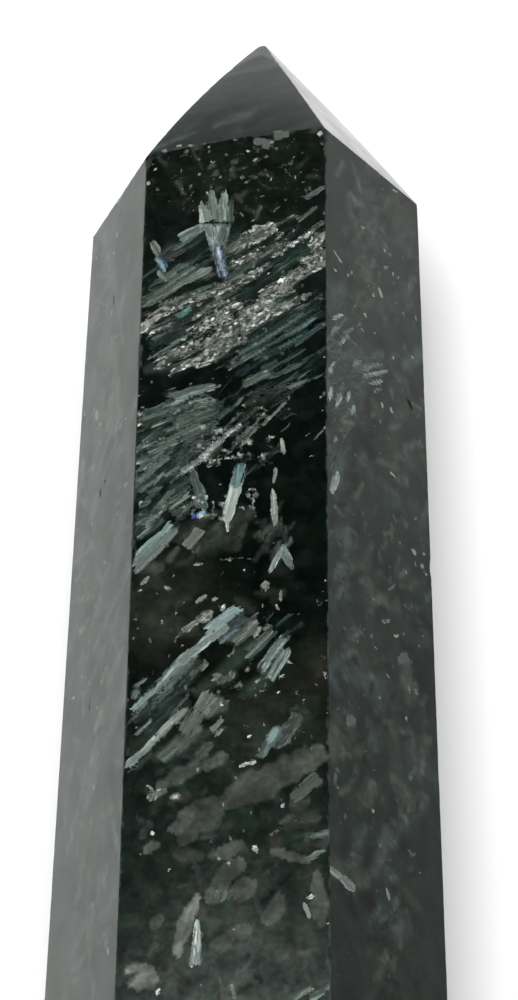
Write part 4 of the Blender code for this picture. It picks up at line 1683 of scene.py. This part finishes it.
@dataclass
class Nodes:
    """Makes the nodes of one tree."""

    tree: bpy.types.NodeTree

    @classmethod
    def of(cls, holder: bpy.types.Material | bpy.types.World) -> "Nodes":
        """Start with an empty tree in a material or a world.

        Args:
            holder: The material or world.

        Returns:
            The maker of its nodes.
        """
        holder.use_nodes = True
        holder.node_tree.nodes.clear()
        return cls(holder.node_tree)

    def make(self, kind: str, settings: dict[str, object], inputs: Inputs) -> bpy.types.Node:
        """Add a node.

        Args:
            kind: The node's type.
            settings: Its own settings, which are set first.
            inputs: A value, a wrapped value or a socket for each input that is used.

        Returns:
            The node.
        """
        node = self.tree.nodes.new(kind)
        for name, setting in settings.items():
            setattr(node, name, setting)
        for name, given in inputs.items():
            socket = given.socket if isinstance(given, Value) else given
            if isinstance(socket, Socket):
                self.tree.links.new(socket, node.inputs[name])
            else:
                node.inputs[name].default_value = given
        return node

    def math(self, operation: str, first: Number, second: Number) -> Value:
        """Add a Math node on two numbers."""
        node = self.make("ShaderNodeMath", {"operation": operation}, {0: first, 1: second})
        return Value(self, node.outputs[0])

    def vector(self, operation: str, inputs: Inputs) -> Socket:
        """Add a Vector Math node."""
        return self.make("ShaderNodeVectorMath", {"operation": operation}, inputs).outputs[0]

    def scaled(self, colour: object, tone: Value) -> Socket:
        """Multiply a colour or vector by one value."""
        return self.vector("SCALE", {0: colour, "Scale": tone})

    def stretched(self, vector: object, factors: Triple) -> Socket:
        """Multiply a vector's three parts by three factors."""
        return self.vector("MULTIPLY", {0: vector, 1: factors})

    def rise(self, value: Value, start: float, end: float, low: float = 0.0, high: float = 1.0) -> Value:
        """Ease from low to high as a value goes from start to end."""
        inputs = {"Value": value, "From Min": start, "From Max": end, "To Min": low, "To Max": high}
        node = self.make("ShaderNodeMapRange", {"interpolation_type": "SMOOTHSTEP"}, inputs)
        return Value(self, node.outputs["Result"])

    def blend(self, share: Number, first: object, second: object) -> Socket:
        """Mix two colours by a share."""
        settings = {"data_type": "RGBA", "blend_type": "MIX", "clamp_factor": True}
        return self.make("ShaderNodeMix", settings, {0: share, 6: first, 7: second}).outputs[2]

    def noise(self, vector: object, scale: float, detail: float, rough: float = 0.5) -> Value:
        """Add smooth noise between 0 and 1 around 0.5."""
        inputs = {"Vector": vector, "Scale": scale, "Detail": detail, "Roughness": rough}
        return Value(self, self.make("ShaderNodeTexNoise", {}, inputs).outputs[0])

    def mottled(self, vector: object, mottle: Mottle) -> Value:
        """Add smooth noise that eases from low to high."""
        noise = self.noise(vector, mottle.scale, mottle.detail, mottle.rough)
        return self.rise(noise, mottle.start, mottle.end, mottle.low, mottle.high)

    def warped(self, vector: object, scale: float, amount: float) -> Socket:
        """Push a place about by smooth noise, so that round dots turn into ragged flecks."""
        noise = self.make("ShaderNodeTexNoise", {}, {"Vector": vector, "Scale": scale, "Detail": 1.0})
        return self.vector("MULTIPLY_ADD", {0: noise.outputs[1], 1: (amount,) * 3, 2: vector})

    def cells(self, vector: object, scale: float) -> tuple[Value, Value]:
        """Divide space into random cells.

        Args:
            vector: Where to look.
            scale: Cells per unit.

        Returns:
            The distance to the cell's middle, and a random number for the cell.
        """
        node = self.make("ShaderNodeTexVoronoi", {"feature": "F1"}, {"Vector": vector, "Scale": scale})
        return Value(self, node.outputs["Distance"]), self.parts(node.outputs["Color"])[0]

    def chance(self, vector: object, factors: Triple) -> Value:
        """Give each cell of a stretched space its own random number."""
        return self.cells(self.stretched(vector, factors), 1.0)[1]

    def parts(self, vector: object) -> list[Value]:
        """Split a vector or colour into its three parts."""
        node = self.make("ShaderNodeSeparateXYZ", {}, {0: vector})
        return [Value(self, socket) for socket in node.outputs]

    def number(self, name: str) -> Value:
        """Read one of the fields of numbers laid over the stone."""
        return Value(self, self.attribute(name).outputs["Fac"])

    def attribute(self, name: str) -> bpy.types.Node:
        """Read one of the fields laid over the stone."""
        return self.make("ShaderNodeAttribute", {"attribute_name": name}, {})

    def four(self, name: str) -> tuple[Socket, Value]:
        """Read a field of four numbers: the first three as one, and the fourth."""
        node = self.attribute(name)
        return node.outputs["Color"], Value(self, node.outputs["Alpha"])

    def place(self, kind: str) -> Socket:
        """Read one of the coordinates."""
        return self.make("ShaderNodeTexCoord", {}, {}).outputs[kind]


@dataclass(frozen=True)
class PolishedRock:
    """The finish of the stone: rock and blades under one clear, hard polish."""

    coarse_splinter: Triple = (0.32, 3.4, 7.3)
    fine_splinter: Triple = (1.0, 8.5, 5.1)
    grain_size: Triple = (3.8, 5.6, 9.7)
    # Cell size and clumping of the painted glints, and the near-white colour painted for them
    painted_glint_size: Triple = (4.6, 6.2, 6.1)
    painted_glint_clumps: Mottle = Mottle(0.9, 2.0, 0.4, 0.65)
    painted_glint_dye: Triple = (255, 255, 252)
    clouds: Mottle = Mottle(0.6, 4.0, 0.32, 0.70, 0.60, 1.35, rough=0.55)
    mottles: Mottle = Mottle(2.6, 2.0, 0.3, 0.7, 0.84, 1.16)
    green_veils: Mottle = Mottle(0.8, 3.0, 0.5, 0.7)
    specks: tuple[Specks, ...] = (
        Specks(3.4, 0.8, 0.42, 0.08, 0.5, MIST),
        Specks(1.0 / 0.62, 0.45, 0.19, 0.04, 0.7, SAGE),
    )
    worn_patches: Mottle = Mottle(1.1, 2.0, 0.35, 0.75)
    worn_dye: Triple = (0.10, 0.105, 0.10)
    rock_rough: float = 0.42
    blade_rough: float = 0.34
    polish: Mottle = Mottle(0.35, 4.0, 0.3, 0.7, 0.72, 0.92, rough=0.6)
    polish_rough: float = 0.035
    polish_ior: float = 1.25
    relief: float = 0.35
    relief_depth: float = 0.02
    gain: float = 0.75

    def build(self) -> bpy.types.Material:
        """Make the material.

        Returns:
            The material, whose changing parts feed colour, roughness, metal, coat and bump.
        """
        material = bpy.data.materials.new("polished_astrophyllite")
        nodes = Nodes.of(material)
        place = nodes.stretched(nodes.place("Object"), (1.0 / MM,) * 3)
        mask, tone, grain, colour, shine = self.blades(nodes, place)
        surface = nodes.blend(mask, self.rock(nodes, place), colour)
        uneven = (nodes.noise(place, 3.0, 3.0) - 0.5) * 0.12
        worn_line = nodes.rise(nodes.number("edge_gap") + uneven, 0.07, 0.0)
        worn = worn_line * nodes.mottled(place, self.worn_patches)
        surface = nodes.blend(worn * 0.5, surface, (*self.worn_dye, 1.0))
        rough = self.rock_rough + mask * (self.blade_rough - self.rock_rough)
        height = mask * (tone * 0.5 + grain * 0.5)
        depth = self.relief_depth * MM
        relief = {"Strength": self.relief, "Distance": depth, "Height": height}
        pit = mask * nodes.rise(shine, -0.2, -0.8)
        inputs = {
            "Base Color": nodes.stretched(surface, (self.gain,) * 3),
            "Metallic": mask * nodes.rise(shine, 0.0, 1.0, 0.0, 0.35),
            "Roughness": rough + worn * 0.2,
            "IOR": 1.5,
            "Specular IOR Level": 0.04,
            "Coat Weight": nodes.mottled(place, self.polish) * (1.0 - pit) - worn * 0.4,
            "Coat Roughness": self.polish_rough,
            "Coat IOR": self.polish_ior,
            "Normal": nodes.make("ShaderNodeBump", {}, relief).outputs[0],
        }
        shader = nodes.make("ShaderNodeBsdfPrincipled", {}, inputs)
        nodes.make("ShaderNodeOutputMaterial", {}, {"Surface": shader.outputs[0]})
        return material

    def blades(self, nodes: Nodes, place: Socket) -> tuple[Value, Value, Value, Socket, Value]:
        """Make the blades out of the laid fields.

        The outline is where cover plus a random step for each splinter passes zero, so that
        borders break up along the splinters. Grain is small cells, most dark and a few lighter.
        In grainy blades, clumps of rare cells get a painted glint: near-white mixed into the colour.

        Args:
            nodes: Makes the nodes.
            place: Place on the stone in millimetres.

        Returns:
            Where blades are, their tone, their grain, their colour with its painted glints, and their
            shine.
        """
        blade = nodes.attribute("blade").outputs["Vector"]
        habit, soft = nodes.four("habit")
        streak, grainy, shine = nodes.parts(habit)
        splinters, coarse, fine = self.splinters(nodes, blade)
        chance = nodes.chance(blade, self.grain_size)
        _, shard = nodes.cells(place, 9.0)
        crumb = (nodes.noise(place, 8.0, 2.0) - 0.5) * 0.04 + (shard - 0.5) * 0.05
        fringe = (fine - 0.5) * soft * 1.3 + (coarse - 0.5) * soft + (chance - 0.5) * grainy * 0.16
        mask = nodes.rise(nodes.number("cover") + fringe + crumb, -0.012, 0.022)
        tone = 1.0 + (splinters - 1.0) * streak
        grain = 1.0 + (nodes.math("POWER", chance, 4.0) * 3.2 - 0.64) * grainy
        colour = nodes.scaled(nodes.attribute("dye").outputs["Color"], tone * grain)
        # Painted glints: in grainy blades, clumps of rare cells get near-white painted into their colour
        glint_cells = nodes.rise(nodes.chance(blade, self.painted_glint_size), 0.82, 0.92)
        painted_glint = glint_cells * grainy * grainy * nodes.mottled(place, self.painted_glint_clumps)
        colour = nodes.blend(painted_glint * 0.9, self.eased(nodes, colour), (*light(self.painted_glint_dye), 1.0))
        return mask, tone, grain, colour, shine

    def eased(self, nodes: Nodes, colour: Socket) -> Socket:
        """Hold the brightest splinters down: each part of the colour becomes c / (1 + c / 2)."""
        below = nodes.vector("MULTIPLY_ADD", {0: colour, 1: (0.5,) * 3, 2: (1.0,) * 3})
        return nodes.vector("DIVIDE", {0: colour, 1: below})

    def splinters(self, nodes: Nodes, run: Socket) -> tuple[Value, Value, Value]:
        """Divide a blade into splinters drawn out along it, in two sizes.

        A splinter's tone is 0.28 + 2.16 c * c, times 0.55 + 1.35 f * f for the fine ones,
        where c and f are random numbers between 0 and 1. Their mean is one.

        Args:
            nodes: Makes the nodes.
            run: Place along and across the blade in millimetres, and its number.

        Returns:
            The tone, and the random numbers of the coarse and the fine splinter.
        """
        coarse = nodes.chance(run, self.coarse_splinter)
        fine = nodes.chance(run, self.fine_splinter)
        tone = (coarse * coarse * 2.16 + 0.28) * (fine * fine * 1.35 + 0.55)
        return tone, coarse, fine

    def rock(self, nodes: Nodes, place: Socket) -> Socket:
        """Make the rock between the blades: dark, softly mottled and specked.

        Args:
            nodes: Makes the nodes.
            place: Place on the stone in millimetres.

        Returns:
            The rock's colour.
        """
        ground, density = nodes.four("ground")
        flow, streak = nodes.four("flow")
        splinters, _, _ = self.splinters(nodes, flow)
        streaky = 1.0 + (splinters - 1.0) * streak
        mottle = nodes.mottled(place, self.clouds) * nodes.mottled(place, self.mottles)
        rock = nodes.scaled(ground, mottle * streaky)
        veil = nodes.mottled(place, self.green_veils) * density
        rock = nodes.blend(veil * 0.45, rock, (*light(GREEN_ROCK), 1.0))
        bent = nodes.warped(place, 4.0, 0.35)
        for layer in self.specks:
            distance, chance = nodes.cells(bent, layer.scale)
            size = nodes.rise(chance, layer.rarity, 1.0, 0.0, layer.size) * density
            speck = nodes.rise(size - distance, 0.0, layer.soft)
            rock = nodes.blend(speck * layer.share, rock, (*light(layer.dye), 1.0))
        return rock


# What each field is in the mesh: its type, the part that is set, and its value at the caps
FIELDS = {
    "ground": ("FLOAT_COLOR", "color", (*light(BLACK_ROCK), 0.3)),
    "dye": ("FLOAT_COLOR", "color", (*light(BLACK_ROCK), 1.0)),
    "habit": ("FLOAT_COLOR", "color", (0.0, 0.0, 0.0, 0.05)),
    "flow": ("FLOAT_COLOR", "color", (0.0, 0.0, 0.0, 0.0)),
    "blade": ("FLOAT_VECTOR", "vector", (0.0, 0.0, 0.0)),
    "cover": ("FLOAT", "value", (-Canvas.reach_out,)),
    "edge_gap": ("FLOAT", "value", (0.5,)),
}


@dataclass
class Stone:
    """The whole stone: its surface, the marks on every face and its finish."""

    shape: StoneShape
    view: PhotoView
    finish: PolishedRock = PolishedRock()
    grid: StoneGrid = StoneGrid()
    guess: GuessedRock = GuessedRock()
    least_guess: float = 3.0

    def paint(self, number: int, face: Face) -> Canvas:
        """Lay the marks on a face.

        Where the photograph shows the face, its own marks lie over made-up ones, which are
        kept to the part below the picture's edge.

        Args:
            number: The face's number.
            face: The face.

        Returns:
            Its canvas.
        """
        canvas = Canvas(face, 100 + number)
        low = (float(face.across.min()), float(face.along.min()))
        high = (float(face.across.max()), float(face.along.max()))
        seen = face.name in PHOTO_LAYOUT
        if seen:
            placer = PhotoPlacer.fit(face, self.view)
            edge = placer.place((self.view.width_px / 2.0, self.view.height_px))
            low = (low[0], min(edge[1] + self.least_guess, high[1]))
        if high[1] - low[1] > self.least_guess:
            for source in self.guess.scatters(1000 + 100 * number, low, high):
                for mark in source.marks():
                    canvas.lay(mark)
        if seen:
            stains, layers = PHOTO_LAYOUT[face.name]
            for stain in stains:
                canvas.stain(placer.stain(stain))
            for source in layers:
                for mark in source.marks():
                    canvas.lay(placer.mark(mark))
        return canvas

    def build(self) -> bpy.types.Object:
        """Build the stone as one closed piece.

        Returns:
            The piece, at the origin, with its fields as attributes of its points.
        """
        surface = StoneSurface(self.shape, self.grid)
        mesh = StoneMesh(surface).build(PIECE)
        canvases = [self.paint(number, face) for number, face in enumerate(surface.faces())]
        for name, (kind, part, spare) in FIELDS.items():
            values = [getattr(canvas, name).reshape(-1, len(spare)) for canvas in canvases]
            values = np.concatenate([*values, [spare, spare]])
            layer = mesh.attributes.new(name, kind, "POINT")
            layer.data.foreach_set(part, values.astype(np.float32).ravel())
        mesh.materials.append(self.finish.build())
        return show(PIECE, mesh)


@dataclass(frozen=True)
class Sheet:
    """A flat stage piece: its ends in X, and its near and far edge in Y and Z.

    A card shows only in the polish, with light that changes along one axis. Its ramp holds
    two places on that axis, in metres, and the light at each.
    """

    name: str
    ends: Pair
    near: Pair
    far: Pair
    axis: int = 0
    ramp: Four = (0.0, 1.0, 0.0, 0.0)

    def show(self) -> bpy.types.Object:
        """Put the sheet into the scene.

        Returns:
            The piece.
        """
        places = [(x, *edge) for edge in (self.near, self.far) for x in self.ends]
        mesh = bpy.data.meshes.new(self.name)
        mesh.from_pydata((np.array(places) * MM).tolist(), [], [(0, 1, 3, 2)])
        piece = show(self.name, mesh)
        return piece


@dataclass(frozen=True)
class Studio:
    """A plain pale floor, soft light from above and a pale room.

    One card stands beyond the tip, and one lies on the floor on either side of the stone.
    """

    floor: Sheet = Sheet("floor", (-3000.0, 3000.0), (-3000.0, -0.02), (3000.0, -0.02))
    floor_albedo: float = 0.86
    floor_light: float = 1.25
    sky_share: float = 0.30
    sky_shown: float = 0.9
    sky_mirrored: Four = (0.0, 0.65, 0.24, 0.006)
    overhead_softness: float = 58.0
    strip_size: Pair = (0.25, 0.12)
    strip_power: float = 0.35
    strip_place: Triple = (-0.56, 0.35, 0.238)
    card_tint: Four = (0.95, 1.0, 0.96, 1.0)
    cards: tuple[Sheet, ...] = (
        Sheet("card", (-200.0, 200.0), (92.0, 0.0), (96.0, 60.0), 2, (0.001, 0.018, 0.78, 0.16)),
        Sheet("right_card", (18.0, 600.0), (-400.0, 0.2), (400.0, 0.2), 1, (0.003, 0.046, 0.60, 0.95)),
        Sheet("left_card", (-18.0, -600.0), (-400.0, 0.2), (400.0, 0.2), 1, (-0.045, 0.060, 1.26, 0.94)),
    )

    def build(self) -> None:
        """Make the floor, the cards that the polish mirrors, the lights and the room."""
        bpy.context.scene.view_settings.view_transform = "Standard"
        self.make_floor()
        for card in self.cards:
            self.make_card(card)
        self.make_lights()
        self.make_room()

    def make_floor(self) -> None:
        """Make the pale matt floor just under the stone."""
        material = bpy.data.materials.new("pale_floor")
        nodes = Nodes.of(material)
        albedo = (self.floor_albedo,) * 3 + (1.0,)
        inputs = {"Base Color": albedo, "Roughness": 1.0, "Specular IOR Level": 0.0}
        shader = nodes.make("ShaderNodeBsdfPrincipled", {}, inputs)
        nodes.make("ShaderNodeOutputMaterial", {}, {"Surface": shader.outputs[0]})
        self.floor.show().data.materials.append(material)

    def make_card(self, card: Sheet) -> None:
        """Make a card that glows in reflections only.

        Args:
            card: The card.
        """
        piece = card.show()
        material = bpy.data.materials.new(card.name + "_glow")
        nodes = Nodes.of(material)
        strength = nodes.rise(nodes.parts(nodes.place("Object"))[card.axis], *card.ramp)
        inputs = {"Color": self.card_tint, "Strength": strength}
        emission = nodes.make("ShaderNodeEmission", {}, inputs)
        nodes.make("ShaderNodeOutputMaterial", {}, {"Surface": emission.outputs[0]})
        piece.data.materials.append(material)
        piece.visible_camera = False
        piece.visible_diffuse = False
        piece.visible_shadow = False
        piece.visible_transmission = False

    def make_lights(self) -> None:
        """Make the soft light overhead and a strip that draws the worn edges."""
        overhead = bpy.data.lights.new("overhead", "SUN")
        overhead.energy = (1.0 - self.sky_share) * self.floor_light * np.pi / self.floor_albedo
        overhead.angle = np.radians(self.overhead_softness)
        show("overhead", overhead).visible_glossy = False
        strip = bpy.data.lights.new("strip", "AREA")
        strip.shape = "RECTANGLE"
        strip.size, strip.size_y = self.strip_size
        strip.energy = self.strip_power
        back = unit(self.strip_place)
        side = unit(np.cross([0.0, 0.0, 1.0], back))
        aim(show("strip", strip), side, np.cross(back, side), back, np.array(self.strip_place))

    def make_room(self) -> None:
        """Make the room: pale around, and dark overhead where only the polish sees it."""
        world = bpy.data.worlds.new("room")
        nodes = Nodes.of(world)
        mirrored = nodes.rise(nodes.parts(nodes.place("Generated"))[2], *self.sky_mirrored)
        path = nodes.make("ShaderNodeLightPath", {}, {})
        glossy = Value(nodes, path.outputs["Is Glossy Ray"])
        camera = Value(nodes, path.outputs["Is Camera Ray"])
        lit = self.sky_share * self.floor_light / self.floor_albedo
        strength = camera * self.sky_shown + glossy * mirrored + (1.0 - camera) * (1.0 - glossy) * lit
        inputs = {"Color": (1.0, 1.0, 1.0, 1.0), "Strength": strength}
        shown = nodes.make("ShaderNodeBackground", {}, inputs)
        nodes.make("ShaderNodeOutputWorld", {}, {"Surface": shown.outputs[0]})
        bpy.context.scene.world = world


def main() -> None:
    """Build the camera, the studio and the stone."""
    logging.basicConfig(level=logging.INFO, format="%(name)s: %(message)s")
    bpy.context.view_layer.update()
    view = PhotoView()
    view.make_camera()
    Studio().build()
    low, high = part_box(NODE)
    stone = Stone(StoneShape(length=(high[1] - low[1]) / MM), view).build()
    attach(stone, BODY)
    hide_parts(NODE)
    LOG.info("%s rides on %s", stone.name, BODY)


if __name__ == "__main__":
    main()
